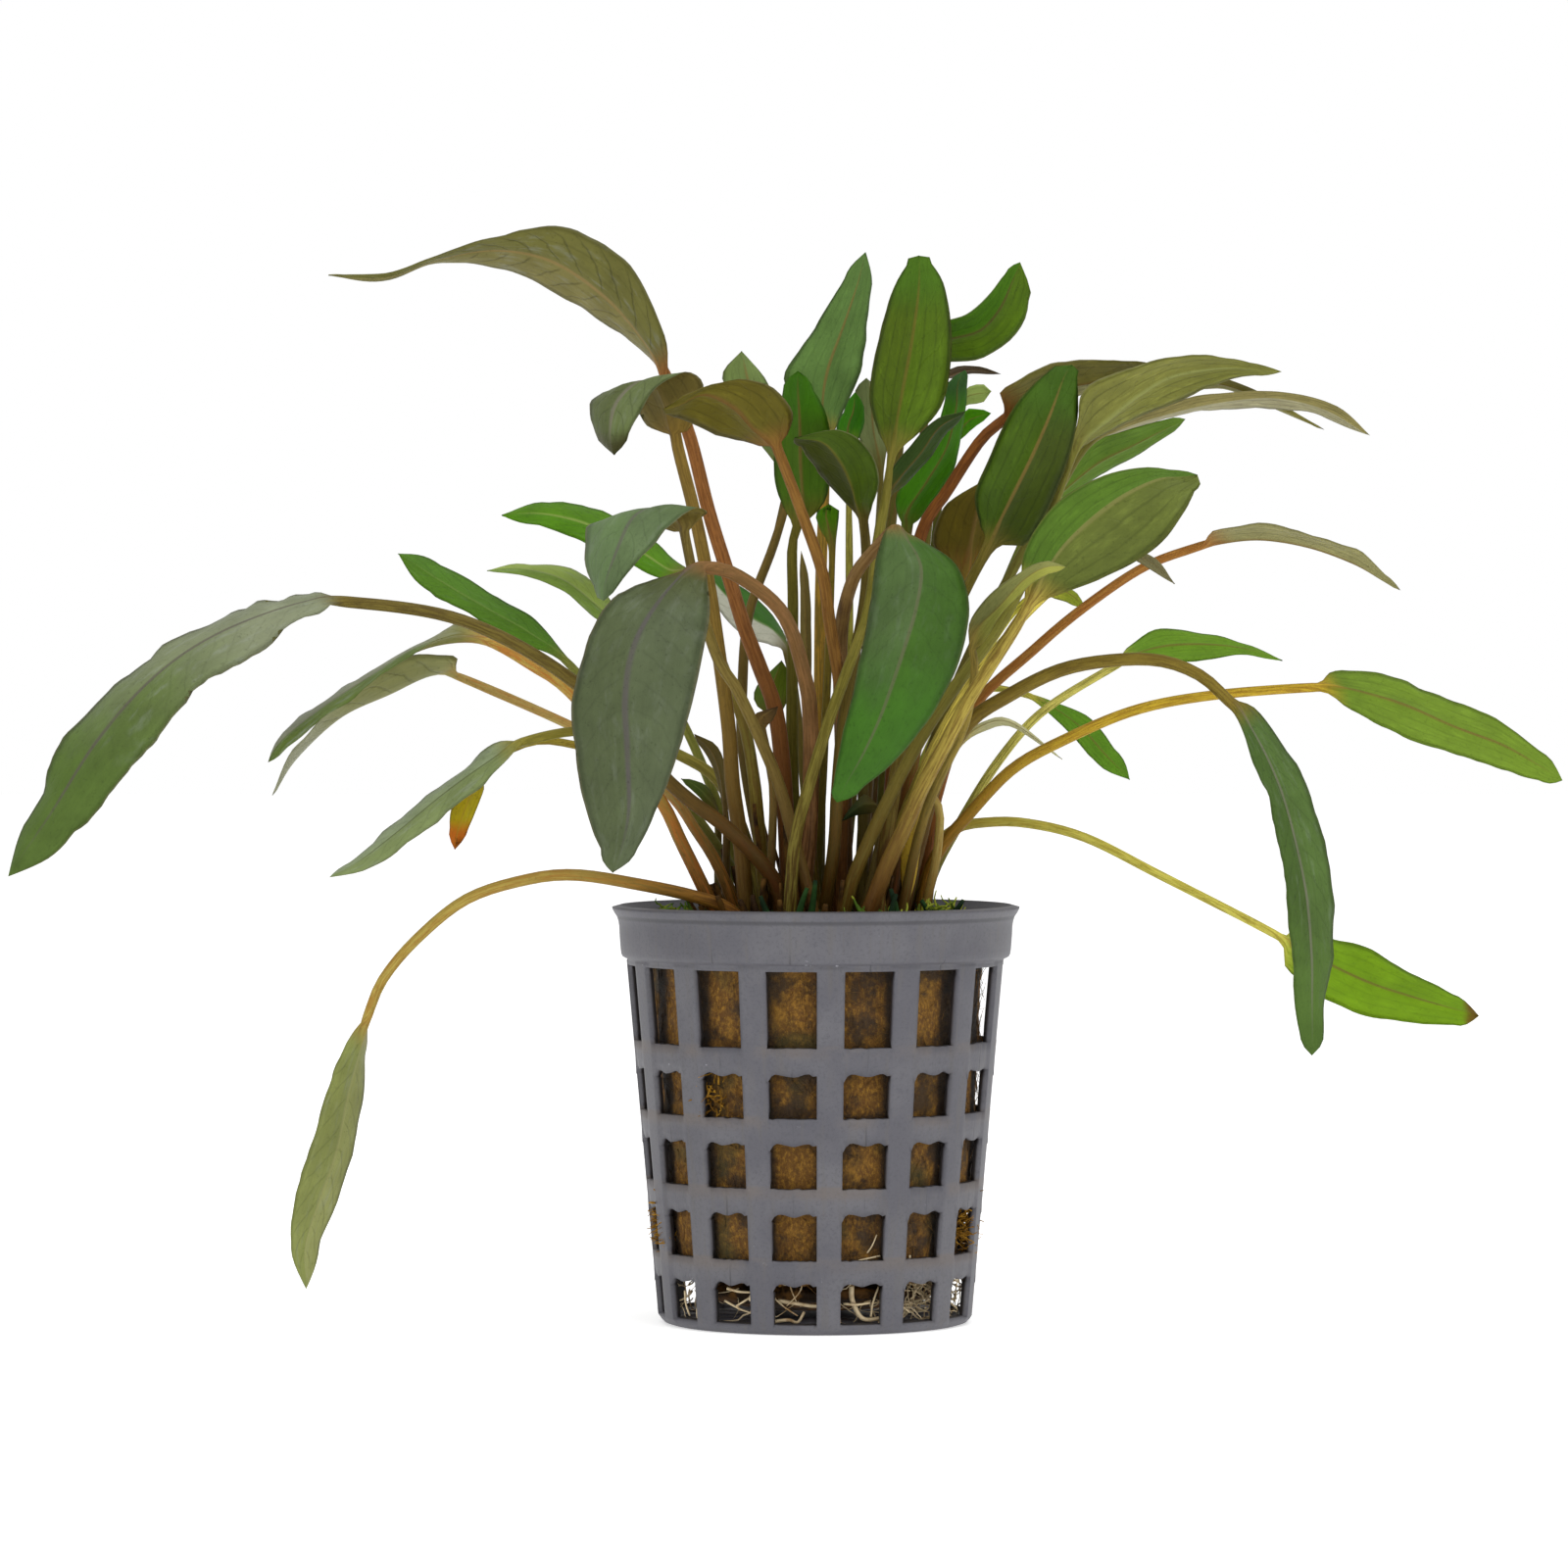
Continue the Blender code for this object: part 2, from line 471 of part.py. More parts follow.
def upper_leaves():
    leaf("long_upper_left", "olive", 0.78,
         [(-3.2, -1), (-3.5, 58, -2), (-4.1, 68.4, -3), (-5, 75.2, -2.8), (-6.8, 80.2, -1.5),
          (-8.9, 85.7, 0.5),
          (-10.7, 91.6, 3), (-13.1, 99.4, 6), (-15.5, 108.8, 9), (-18.2, 115.6, 10.5)],
         [(-18.6, 121, 8, -20.3, 119.4, 11, -21, 118.9, 13.5),
          (-23.3, 130.2, 7, -25.2, 125.3, 11.5, -26.4, 122.7, 15),
          (-31.3, 134.3, 7, -32, 130.1, 12, -32, 126.4, 15.5),
          (-38.5, 133.3, 9, -39, 131.6, 12.5, -38.5, 129.1, 15.5),
          (-46, 131.1, 11.5, -46, 130.5, 13, -46.3, 129.9, 14.5),
          (-52.5, 128.7, 13, -52.7, 128.2, 13.5, -52.8, 127.7, 14)],
         (-59.7, 128.4, 15))
    leaf("folded_upper_left", "olive", 0.71,
         [(-8.3, -5.8), (-9.2, 58.7, -6.5), (-10.2, 66, -7), (-10.7, 73, -7.5), (-11.9, 82.2, -7.5),
          (-13.2, 91, -6.5), (-14.9, 99.4, -5), (-16.7, 106.4, -4.5), (-17.2, 108.9, -4.5)],
         [(-18.4, 109, -3, -17.7, 110.2, -4.5, -15.2, 109.8, -5.5),
          (-20.3, 110, -1.5, -18.5, 112.8, -5, -13.7, 114.6, -5),
          (-22.5, 112, -1.5, -19.9, 115.3, -6.5, -15.5, 116.5, -6),
          (-25.5, 114, -4, -22, 115, -10, -18.8, 115.3, -9.5),
          (-27.8, 112.6, -8, -24.4, 112.5, -13, -21.1, 112.3, -13.5),
          (-27, 109.2, -11, -25.1, 109, -15, -22.9, 109.2, -15)],
         (-24.7, 106.4, -14))
    leaf("brown_upper", "brown_under", 0.65,
         [(2.8, -4.8), (3.1, 60, -5.6), (3.3, 72.1, -6.9), (3, 77.9, -7.5), (1.7, 85.9, -9.6),
          (0.8, 92, -10.4),
          (-1.8, 99.5, -11), (-4.6, 106.9, -11.5)],
         [(-6.8, 107.4, -10, -5.6, 108.1, -12, -3.5, 108.8, -13.5),
          (-9.9, 108.3, -9, -7.8, 109.9, -13, -2.9, 111.5, -16),
          (-13.2, 109.5, -11, -10.1, 112.3, -15, -5.4, 114.9, -18),
          (-16.5, 110.6, -14, -13.7, 113.9, -16.5, -10.5, 115.9, -19),
          (-18, 111.3, -16.5, -17.1, 112.4, -17.5, -15.2, 114.1, -18.5)],
         (-18.7, 112, -18))
    leaf("behind_brown", "grey_top", 0.53,
         [(-4.6, 4), (-6.8, 58, 6), (-8.9, 70, 9), (-9, 78, 11), (-8.2, 86.9, 13), (-5, 95.9, 15),
          (-3.3, 103, 17)],
         [(-8.6, 110, 19, -6.4, 109.5, 18, -3.8, 109, 19),
          (-11.2, 115, 20, -8.2, 115.2, 19, -5.6, 114.2, 20)],
         (-9.1, 119.1, 21))
    leaf("centre_bright", "bright", 0.59,
         [(-2.1, 2), (-2.6, 60, 1.5), (-2.9, 69.5, 0.5), (-2.9, 78.8, 0), (-2.8, 88, 0), (-2.9, 94.8, 0),
          (-2.3, 97.6, 0)],
         [(-4.1, 100.3, 1, -1.7, 100.6, -0.5, 1.3, 101, 1),
          (-5.3, 104.7, 1, -1.9, 105.7, -1, 1.9, 106.6, 1),
          (-4.6, 110.5, 0, -2, 110.7, -2, 1.2, 111.5, 0),
          (-4, 114.4, -1, -2.2, 114.3, -2.5, -0.4, 114.6, -1)],
         (-2.2, 116.7, -2.5))
    leaf("upright_blue_green", "green_top", 0.62,
         [(0.2, 5.5), (0.4, 62, 7), (0.5, 76, 9.5), (0.6, 90, 13), (1, 101, 16), (1.3, 108, 18)],
         [(-1.4, 112.3, 20, 0.8, 112.3, 18.5, 3.2, 111, 20),
          (-3.9, 116, 21.5, 1.5, 116.8, 19.5, 5.2, 116, 21.5),
          (0, 122.3, 23.5, 3.4, 122.2, 21.5, 6.3, 121.5, 23.5),
          (3.4, 127.7, 25, 5, 127, 23.5, 6.7, 126.3, 25)],
         (6.1, 131.2, 25))
    leaf("small_bright_centre", "bright", 0.42,
         [(3.6, 3), (3.9, 62, 2.5), (4.1, 78, 1.5), (4.1, 94, 0.5), (4, 105.3, 0.5)],
         [(2.5, 109.4, 1.5, 3.9, 109.6, 0, 5.7, 109.4, 1.5),
          (3.6, 112, 1, 4.6, 111.8, 0, 5.9, 111.8, 1)],
         (4.8, 114.1, 0))
    leaf("pale_behind_centre", "sage_under", 0.42,
         [(3.1, 7.5), (4.5, 64, 12), (6.3, 82, 17), (7.6, 96, 21), (7.9, 104, 23)],
         [(4.9, 109.4, 24, 7, 109.6, 24, 9, 109.6, 25),
          (4.9, 113.6, 25, 6.8, 113.6, 25, 8.4, 113.4, 26)],
         (6.2, 115.8, 26))
    leaf("tall_front", "olive", 0.74,
         [(-3.4, -12.4), (-2.6, 58.8, -13.2), (-1, 65.3, -14), (1.6, 73.8, -14.5), (4.1, 80.7, -13.5),
          (6.3, 87, -10.8), (7.5, 95, -9.6), (8.6, 101.4, -9.5), (9.3, 106.4, -10)],
         [(7.6, 109.4, -10, 9.8, 109.9, -11.5, 13, 109.4, -10),
          (6.6, 113.6, -9, 10.6, 114.2, -12, 15.7, 113.2, -9),
          (7.6, 120.2, -8, 11.7, 120, -11.5, 16.7, 120.4, -8),
          (9.1, 125.8, -8, 12.5, 125.5, -10.5, 16, 126.4, -8),
          (11.1, 129.6, -8.5, 12.7, 129.1, -9.5, 14.2, 129.8, -8.5)],
         (12.6, 130.8, -9))
    leaf("twisted_top", "olive", 0.62,
         [(5.3, 6), (6, 62, 8), (7, 76, 11), (8.6, 92, 14.5), (10, 106, 17.5), (11.2, 117.4, 19)],
         [(13.6, 122.4, 18, 14, 120.3, 19, 13.7, 117.8, 20),
          (16.7, 123, 17, 17, 120.9, 19, 16.9, 117.8, 21),
          (19, 124, 17.5, 20.2, 121.8, 19, 20.6, 118.3, 20.5),
          (21.4, 126.3, 18.5, 22.5, 124.4, 19, 24.6, 121.2, 20.5),
          (23.2, 128.6, 19.5, 24, 127.7, 19.5, 26.1, 125.4, 20.5)],
         (25, 130, 20))
    leaf("thin_dark_edge", "brown_under", 0.42,
         [(5.6, 9), (7.2, 64, 13.5), (9.4, 82, 19), (11.8, 100, 24), (14.2, 114.2, 27)],
         [(16.6, 117, 27, 16.7, 116.3, 28, 16.8, 115.8, 29),
          (19.5, 117.3, 27.5, 19.5, 116.9, 28, 19.5, 116.4, 28.5)],
         (22.7, 116.3, 28))
    leaf("small_dark_front", "olive", 0.59,
         [(0.7, -7), (2.2, 58, -9.6), (2.6, 65, -10.8), (3.3, 73.3, -11.2), (4.5, 80.5, -9.4),
          (5.7, 86.8, -6.2),
          (6.2, 92, -5.6), (5.9, 97.8, -7.4)],
         [(3.6, 100.6, -9, 5, 100.9, -10, 7, 100.2, -11.5),
          (1.3, 102.9, -11, 4.3, 103, -12.5, 7.8, 103.4, -13.6),
          (-0.5, 105.5, -14, 3, 105.6, -16, 6.6, 106.9, -15),
          (-1.7, 107.5, -17, 0.8, 108, -18.5, 3.4, 109.3, -18)],
         (-2.6, 108.5, -20))
    leaf("diagonal_dark", "green_top", 0.53,
         [(5.7, -3.2), (5.8, 62, -3.6), (5.9, 76, -3.5), (6.8, 90, -3.5), (8.3, 100.3, -3.5)],
         [(9.2, 104.4, -4, 10.1, 103.6, -3.5, 11.2, 102.8, -2),
          (11.3, 107.2, -4.5, 12.7, 106.6, -3.5, 13.9, 106, -2),
          (14.2, 110.4, -4.5, 15.1, 109.9, -3.5, 16.1, 109.2, -2)],
         (18.3, 111.7, -3))
    leaf("bright_narrow", "bright", 0.56,
         [(7.6, 2), (8.2, 64, 3), (9.2, 80, 4), (11, 96.4, 4)],
         [(9.9, 99.3, 5, 11.3, 99.6, 3.5, 13.1, 98.8, 4.5),
          (10.2, 101.9, 5, 13.6, 103.1, 3, 16.3, 103.7, 4.5),
          (14, 107.5, 5, 16.1, 107.4, 3, 17.7, 107.5, 4.5),
          (15.6, 112.3, 4.5, 17.2, 112.1, 3, 18.4, 112.3, 4.5),
          (16.2, 115.1, 4, 17.4, 115.1, 3, 18.5, 115.2, 4)],
         (18.3, 116.8, 3.5))
    leaf("pale_tip_behind", "sage_under", 0.42,
         [(8.6, 6.5), (10.4, 66, 10), (12.6, 86, 14.5), (14.6, 105, 18), (15.6, 110.6, 19)],
         [(18.4, 114.5, 19, 18.4, 113.5, 19.5, 18.4, 112.4, 20),
          (20.2, 115, 19, 20.2, 114, 19.5, 20.2, 112.8, 20)],
         (21.5, 114.2, 19.5))
    leaf("bright_tip_behind", "bright", 0.42,
         [(9.8, 4.6), (11.4, 64, 6.6), (13.4, 84, 9), (15.4, 103.5, 11.4), (16.2, 107, 12)],
         [(18.2, 111.7, 12, 18.3, 110.3, 12.5, 18.4, 108.9, 13),
          (20.2, 111.9, 12, 20.2, 111.3, 12.5, 20.2, 110.4, 13)],
         (21.5, 111.5, 12.5))


def centre_leaves():
    leaf("large_front_centre", "green_top", 0.71,
         [(3.6, -1.4), (3.5, 62, -2.1), (3.2, 72, -2.9), (3, 78.1, -3.6), (3.1, 84.6, -5),
          (3.7, 88.4, -9.2),
          (5, 92, -14.4), (7.4, 95, -18), (9.6, 97.2, -21)],
         [(8.3, 96.8, -23, 10.9, 96.3, -24, 13.6, 95.7, -23),
          (7.3, 93.2, -24, 12.9, 92.6, -26, 17.2, 92.8, -24),
          (6.6, 87.7, -26, 12.3, 87.5, -28.5, 18.8, 88.2, -26),
          (5.5, 82, -28, 10.6, 82, -30.5, 17.9, 82, -28),
          (4.1, 75.6, -29, 8.2, 75.1, -31, 15, 75.7, -29),
          (2.9, 70.3, -29, 5.9, 70, -30.5, 10.3, 69.5, -29),
          (2.2, 66.1, -28.5, 3.8, 66.3, -29, 5.8, 65.7, -28.5)],
         (2.6, 63.8, -28))
    leaf("rolled_spear", "olive", 0.43,
         [(0.4, -1.5), (-0.4, 58, -2.2), (-0.9, 67, -3), (-1, 76, -3)],
         [(-1.9, 84, -3, -1.2, 84, -3.5, -0.5, 84, -3),
          (-1.9, 90.3, -3, -1.4, 90.5, -3.4, -0.8, 90.3, -3)],
         (-1.8, 94.7, -3))
    leaf("small_spoon", "bright", 0.42,
         [(-0.2, 2), (0.5, 60, 2), (1.2, 74, 1.5), (1.7, 86, 1), (2, 94.6, 0.6)],
         [(0.5, 97.3, 1, 1.6, 97.4, 0, 2.6, 97, 1),
          (0, 99, 1, 1.2, 99.1, 0, 2.7, 99, 1)],
         (1.6, 100.4, 0.5))
    leaf("back_green_white", "green_top", 0.5,
         [(0.2, 9), (-1, 62, 11.5), (-2.2, 74, 15), (-3.4, 81.6, 18)],
         [(-4.3, 85.4, 22, -5, 84.6, 20, -5.6, 83.2, 18.5),
          (-7.7, 89.3, 24.5, -8, 86.5, 22.5, -8.7, 84.1, 21),
          (-11, 91.2, 27, -11.3, 89.4, 25.5, -12, 87.6, 24)],
         (-13.9, 92.6, 28))
    leaf("back_small_green", "bright", 0.43,
         [(-2.6, 10.5), (-3.8, 60, 12.5), (-4.8, 73, 15.5)],
         [(-7.6, 76.5, 17, -5.7, 76.4, 16.5, -3.3, 77, 17.5)],
         (-4.2, 81.2, 18.5))
    leaf("small_withered", "brown_under", 0.42,
         [(-6, -7), (-5.4, 58, -7), (-5.3, 66, -7.5), (-6.4, 72.2, -8)],
         [(-7.9, 74.2, -8.5, -6.9, 74, -8.5, -5.9, 73.3, -9)],
         (-4.6, 75.6, -9))
    leaf("brown_behind_front", "brown_under", 0.59,
         [(8.8, -0.8), (10.6, 62, -0.8), (13.6, 76, -0.6), (16.6, 86, -0.4), (18.4, 91.2, -0.4)],
         [(14.4, 95.2, 0.8, 19, 95.3, -0.6, 22, 95.2, 0.4),
          (15.2, 99.1, 0.8, 19.8, 99.3, -0.6, 23, 98.4, 0.4),
          (17.4, 101.4, 0.4, 21, 102.2, -0.6, 24, 101.6, 0.2)],
         (24.3, 105, -0.4))
    leaf("yellow_hanging", "yellow", 0.42,
         [(12.5, -7.3), (14.6, 56, -7.7), (15.2, 61, -8), (15.1, 63, -8.1), (14.6, 64.4, -8.2),
          (13.8, 64.9, -8.3), (13.1, 64.2, -8.4)],
         [(10.8, 60.8, -8, 12.2, 61, -8.5, 13.3, 61.4, -8),
          (10.4, 56.3, -7.8, 11.5, 56.3, -8.3, 12.6, 56.6, -7.8)],
         (11.2, 51, -8))
    leaf("small_dark_low", "green_top", 0.42,
         [(5.2, -6.4), (7.2, 56, -6.4), (8.1, 62.4, -6.8)],
         [(6.1, 64.8, -7.4, 6.3, 63.6, -7.6, 6.6, 62.4, -7.2),
          (4.5, 63.4, -7.5, 4.7, 62.9, -7.7, 4.7, 62.2, -7.4)],
         (3.2, 61.5, -7.6))


def right_leaves():
    leaf("large_right_front", "olive", 0.71,
         [(7.4, -9.9), (9, 62, -9.9), (11.4, 74, -9.2), (14.6, 82, -9.5), (20.9, 94.6, -12.5)],
         [(20.1, 97.7, -12, 22.4, 98, -13.5, 25.6, 95.3, -12.5),
          (19.6, 101.5, -12, 24, 101.2, -14.5, 28.1, 98.9, -12.5),
          (21.4, 106.4, -12, 26.5, 106.2, -14.5, 30.8, 105.2, -12.5),
          (24.5, 112.7, -12, 28.7, 111.2, -14, 32.1, 111.2, -12.5),
          (28.4, 116.5, -12, 30.4, 115.8, -13, 32, 115.8, -12.5)],
         (31.4, 117.4, -12.5))
    leaf("brown_arch_right", "brown_under", 0.65,
         [(8.1, -4), (9, 62, -4.8), (10.4, 80, -5.5), (11.8, 92, -5.5), (13.5, 98.2, -5.5),
          (15.9, 101.7, -5.5),
          (20.2, 108.2, -5.5), (23.4, 111, -5)],
         [(22.6, 114.3, -7, 25, 112.2, -4.5, 25.4, 111.2, -2.5),
          (26.8, 116.6, -7, 28, 114.4, -3.5, 28.8, 112.7, -0.5),
          (31.6, 118, -5, 32.5, 115.2, -2, 32.8, 113.8, 1),
          (37.6, 117.9, -3, 38.3, 116, 0, 38.5, 114.6, 2.5),
          (44.9, 116.9, -1, 44.9, 115.6, 1, 44.9, 114.4, 3),
          (51.7, 115.3, 1, 51.5, 114.7, 2, 51.2, 114.1, 3)],
         (62.3, 109.5, 3))
    leaf("olive_arch_right", "olive", 0.62,
         [(2.9, -10.2), (4.8, 55, -11.8), (9.9, 66.2, -13.2), (14.9, 74.9, -12.8), (21.4, 83.9, -11.5),
          (24.3, 88.7, -11), (27.2, 95, -10.2), (29.6, 101.6, -10), (31.3, 106.2, -10)],
         [(32, 110.4, -12.5, 33, 108.6, -10, 33.8, 108.2, -8),
          (32.9, 114.3, -13.5, 35.8, 110.8, -9.5, 38, 110.6, -6),
          (38.3, 117, -13, 39.4, 113.7, -9, 41.8, 111.9, -5.5),
          (43.6, 118.5, -12, 43.6, 116.1, -8, 45.7, 113.3, -4.5),
          (49, 118.5, -10, 49.4, 117.1, -7, 50.3, 115.5, -5),
          (53.2, 117.7, -8, 53.5, 117, -7, 53.8, 116.1, -6)],
         (57.1, 116.6, -7))
    leaf("striped_arch_right", "olive", 0.53,
         [(10.3, 1.2), (13, 66, 1.2), (18, 80, 1.2), (24, 92, 0.6), (29.4, 101.5, -1.2), (33, 107.4, -2.6)],
         [(36.6, 110.2, -4, 37, 109.7, -3, 37.4, 109.2, -1.5),
          (42.4, 112.4, -3.6, 43, 111.6, -2.6, 43.2, 110.8, 0.5),
          (49, 114, -3.2, 49.4, 113, -2, 49.6, 111.9, 1),
          (56.3, 114.2, -1.6, 56.3, 113.5, -1, 56, 112.1, 1.5),
          (62.9, 112.8, -1, 62.5, 112, -0.4, 61.7, 111.2, 1)],
         (67.9, 108.8, 0.6))
    leaf("green_blade_right", "bright", 0.53,
         [(11.9, 2.9), (13.5, 62, 3.4), (18.4, 78, 5.6), (24, 92.4, 8), (27.6, 99.8, 9)],
         [(30.2, 104.6, 8.5, 30.6, 102.4, 9.5, 30.8, 101.2, 10.5),
          (33.7, 108.2, 8, 34.6, 105.5, 10, 35.2, 104, 12),
          (38.8, 109.9, 8, 38.8, 107.6, 10, 39.4, 106.5, 12),
          (42.8, 110.7, 9, 42.7, 109.6, 10, 43, 108.7, 11)],
         (45.3, 110.8, 10))
    leaf("large_right", "green_top", 0.74,
         [(5.4, -12.2), (8.7, 56, -13), (10.8, 60.5, -13.8), (12.9, 65.3, -14.5), (15.9, 71, -16),
          (19, 76.8, -17),
          (23.7, 84.1, -17.5), (26.2, 88.2, -18)],
         [(25.2, 92.8, -19, 27.8, 91.2, -18.5, 30.4, 89.5, -20),
          (26.4, 96.4, -19, 30.2, 94.9, -18.5, 35.2, 91.3, -22),
          (29.6, 100.6, -18.5, 33.6, 98.3, -18.5, 40.3, 94, -23),
          (34.6, 103.6, -18, 37.6, 101.3, -18.5, 43.8, 97.3, -23),
          (40, 104.9, -18, 41.8, 103.3, -18.5, 45.8, 100.6, -22),
          (44, 104.5, -18, 44.6, 103.6, -18.5, 46.5, 102.2, -20)],
         (46.8, 103.9, -19))
    leaf("small_folded_right", "green_top", 0.46,
         [(10, -9), (12.2, 58, -10), (14.4, 65, -11), (18, 72.6, -13.5), (19.1, 77, -14),
          (19.5, 80.4, -14.6),
          (19.2, 82.6, -15.6)],
         [(18.9, 86, -17, 20, 85.2, -17, 20.7, 83.6, -18),
          (21.4, 89.4, -20, 22.8, 88, -20.5, 23.3, 87.6, -22),
          (24.4, 91.6, -22.5, 25.4, 90.9, -23, 26.2, 90.4, -24.5),
          (27.6, 93.3, -24, 28, 92.5, -24.5, 28.6, 91.8, -25.5)],
         (30.7, 92.7, -25))
    leaf("orange_stalk_right", "olive", 0.53,
         [(13, 0.4), (13.4, 55, 0.4), (15, 65, 0.4), (18.9, 75, 0), (26.8, 82.6, -0.5), (33, 87.8, -1),
          (40.3, 92.7, -1), (47, 95.2, -1)],
         [(49, 97.3, -4, 50, 95.9, -1, 49.8, 96.6, 2),
          (55.1, 97.9, -5, 54.8, 96.2, -1, 55, 97, 3),
          (61.1, 96.7, -5, 60.5, 95.2, -1, 60.9, 95.9, 3),
          (66.7, 94.6, -4, 65.9, 93.2, -1, 66.2, 93.9, 2),
          (69.8, 91.8, -2, 69.4, 91.2, -1, 69.6, 91.5, 0)],
         (71.7, 89.8, -1))
    leaf("green_behind_droop", "bright", 0.5,
         [(13.6, 6.2), (14.2, 54.5, 7.5), (17.7, 61.3, 10), (22.5, 69, 13.5), (28, 75.1, 17),
          (36.8, 80.6, 22)],
         [(38.2, 82.8, 25, 39.4, 81.9, 24, 40, 81, 23),
          (41.8, 85, 28, 43, 82.9, 26.5, 44.2, 80.9, 25),
          (47.2, 84.7, 30.5, 47.8, 83.1, 29, 48.4, 81.3, 27.5),
          (52.4, 83.3, 32, 52.4, 82.6, 31, 52.6, 81.9, 30)],
         (57.2, 81.2, 33))
    leaf("far_right_long", "bright", 0.59,
         [(12.5, -4), (13.7, 54.7, -3.3), (15.6, 58.6, -2.5), (18.3, 61.8, -1.2), (24, 67.8, 1.5),
          (30.5, 71.5, 4),
          (39.1, 75.1, 7), (48.3, 76.9, 9.5), (60.9, 77.9, 12)],
         [(63.5, 79.9, 14.5, 65, 77.6, 12.5, 65.5, 75.4, 10.5),
          (70, 79.3, 16.5, 71.8, 75.8, 13.5, 72.8, 71.6, 11),
          (76.5, 77, 17.5, 78.3, 73, 14.5, 79.5, 69.4, 12),
          (83.5, 73.8, 17.5, 84.2, 70.8, 15.5, 85, 67.5, 13.5),
          (89, 70, 17, 88.8, 68.2, 16, 88.8, 66.5, 15)],
         (91.6, 66.5, 16))
    leaf("drooping_right", "grey_top", 0.71,
         [(9.9, -6), (12.4, 58, -5.2), (14.6, 66, -5), (18.5, 73.3, -5), (23.8, 77, -5), (29.9, 80, -5),
          (36.1, 81.2, -5),
          (42.2, 81.2, -5), (47.1, 79.4, -5), (50.6, 76.3, -5)],
         [(51.9, 73.6, -7, 52.5, 74.1, -6, 54.1, 75.2, -5),
          (53.4, 69.1, -9, 55.1, 69.5, -7, 58.1, 69.9, -5),
          (55.2, 64.7, -11, 57.2, 64.3, -8, 60.5, 64.7, -6),
          (56.9, 58.3, -12, 58.9, 58, -9, 62.5, 58.3, -7),
          (57.7, 52.3, -13, 60.1, 51.9, -10, 63.5, 52.3, -8),
          (58.4, 45.1, -13, 60.7, 44.7, -10.5, 63.5, 45.1, -8),
          (58.8, 39.1, -12, 60.8, 38.7, -10.5, 62.4, 39.1, -9),
          (59.5, 35.1, -11, 60.9, 34.9, -10.5, 62.3, 35.1, -10)],
         (60.9, 32.7, -10.5))
    leaf("low_right_green", "bright", 0.53,
         [(11.9, 8.8), (12.6, 54, 10), (14.8, 58.5, 12), (17.2, 60.6, 14), (20.2, 61.3, 16),
          (25.6, 61.3, 19),
          (33, 59.5, 22), (42.2, 54.9, 24), (56.2, 47.7, 25.5)],
         [(58.4, 47.9, 28, 58.4, 46.2, 26, 57.7, 43.5, 24),
          (62.5, 47.5, 29.5, 62.3, 44.2, 26.5, 61.7, 40.2, 24),
          (67.7, 45.8, 30, 67.7, 41.7, 27, 67.1, 37.8, 24),
          (73.1, 42.9, 30, 73.1, 39.9, 27, 72.8, 36.8, 25),
          (77.9, 40.4, 29, 77.9, 38.5, 27, 78.1, 36.5, 26)],
         (81.4, 37.6, 27))
    leaf("small_green_right", "green_top", 0.42,
         [(9.2, 9.2), (10.6, 58, 11.5), (12.8, 68, 14.5), (17.1, 76, 18), (21, 77.8, 20), (25.5, 77.1, 21)],
         [(29.6, 76, 23, 29.1, 75.3, 22, 28.4, 74.9, 21),
          (33.7, 73.9, 24, 32.6, 72.8, 22.5, 31.4, 72.1, 21.5),
          (36.8, 70.3, 24, 35.6, 69.5, 23, 34.1, 68.9, 22)],
         (38.5, 66.6, 23))
    leaf("thin_right", "green_top", 0.42,
         [(10.4, 7), (11.6, 58, 7.6), (14.5, 66, 9.4), (17.6, 71, 10.4)],
         [(20.7, 73.8, 11.6, 20.7, 73.4, 11.2, 20.9, 72.6, 11.6),
          (24.2, 73.9, 12, 24.2, 73.5, 11.6, 24.2, 73, 12)],
         (30.2, 69.1, 12.4))
    leaf("small_curl_right", "sage_under", 0.42,
         [(7.5, -7.2), (10.6, 62, -7), (18, 77, -7.8), (27, 88, -9), (35.8, 94.4, -11)],
         [(40.8, 94.2, -12.4, 40.6, 93.5, -12, 40, 93, -12.4)],
         (44, 90.6, -13))
    leaf("small_tip_right", "bright", 0.42,
         [(11.5, 5.2), (13.2, 62, 5.9), (17, 75, 8.2), (23, 85.6, 11), (27, 89.4, 12)],
         [(29.1, 91, 13, 29.3, 90, 12.4, 29.2, 88.8, 11.8),
          (31.6, 89.8, 13.4, 31.3, 89.2, 13, 31, 88.3, 12.6)],
         (33, 87.7, 13.4))


def build():
    for old in list(bpy.data.objects):
        bpy.data.objects.remove(old, do_unlink=True)
    net_pot()
    rock_wool()
    crown()
    roots()
    left_leaves()
    upper_leaves()
    centre_leaves()
    right_leaves()
    stand = bpy.data.objects.new("potted_cryptocoryne", None)
    bpy.context.scene.collection.objects.link(stand)
    for piece in list(bpy.data.objects):
        if piece is not stand:
            piece.parent = stand


build()
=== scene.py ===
"""A potted cryptocoryne: a water plant growing out of rock wool in a grey plastic net pot.

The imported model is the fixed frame: every finished leaf, root and the pot stand where their solids
are. The leaves were measured as they appear from the camera's place. A measured point is (across,
up, depth) in millimetres: where it appears in the upright plane through the pot's axis, and how
far behind that plane it really lies.
"""

import itertools
import math
import random

import bmesh
import bpy
from mathutils import Matrix, Vector, noise


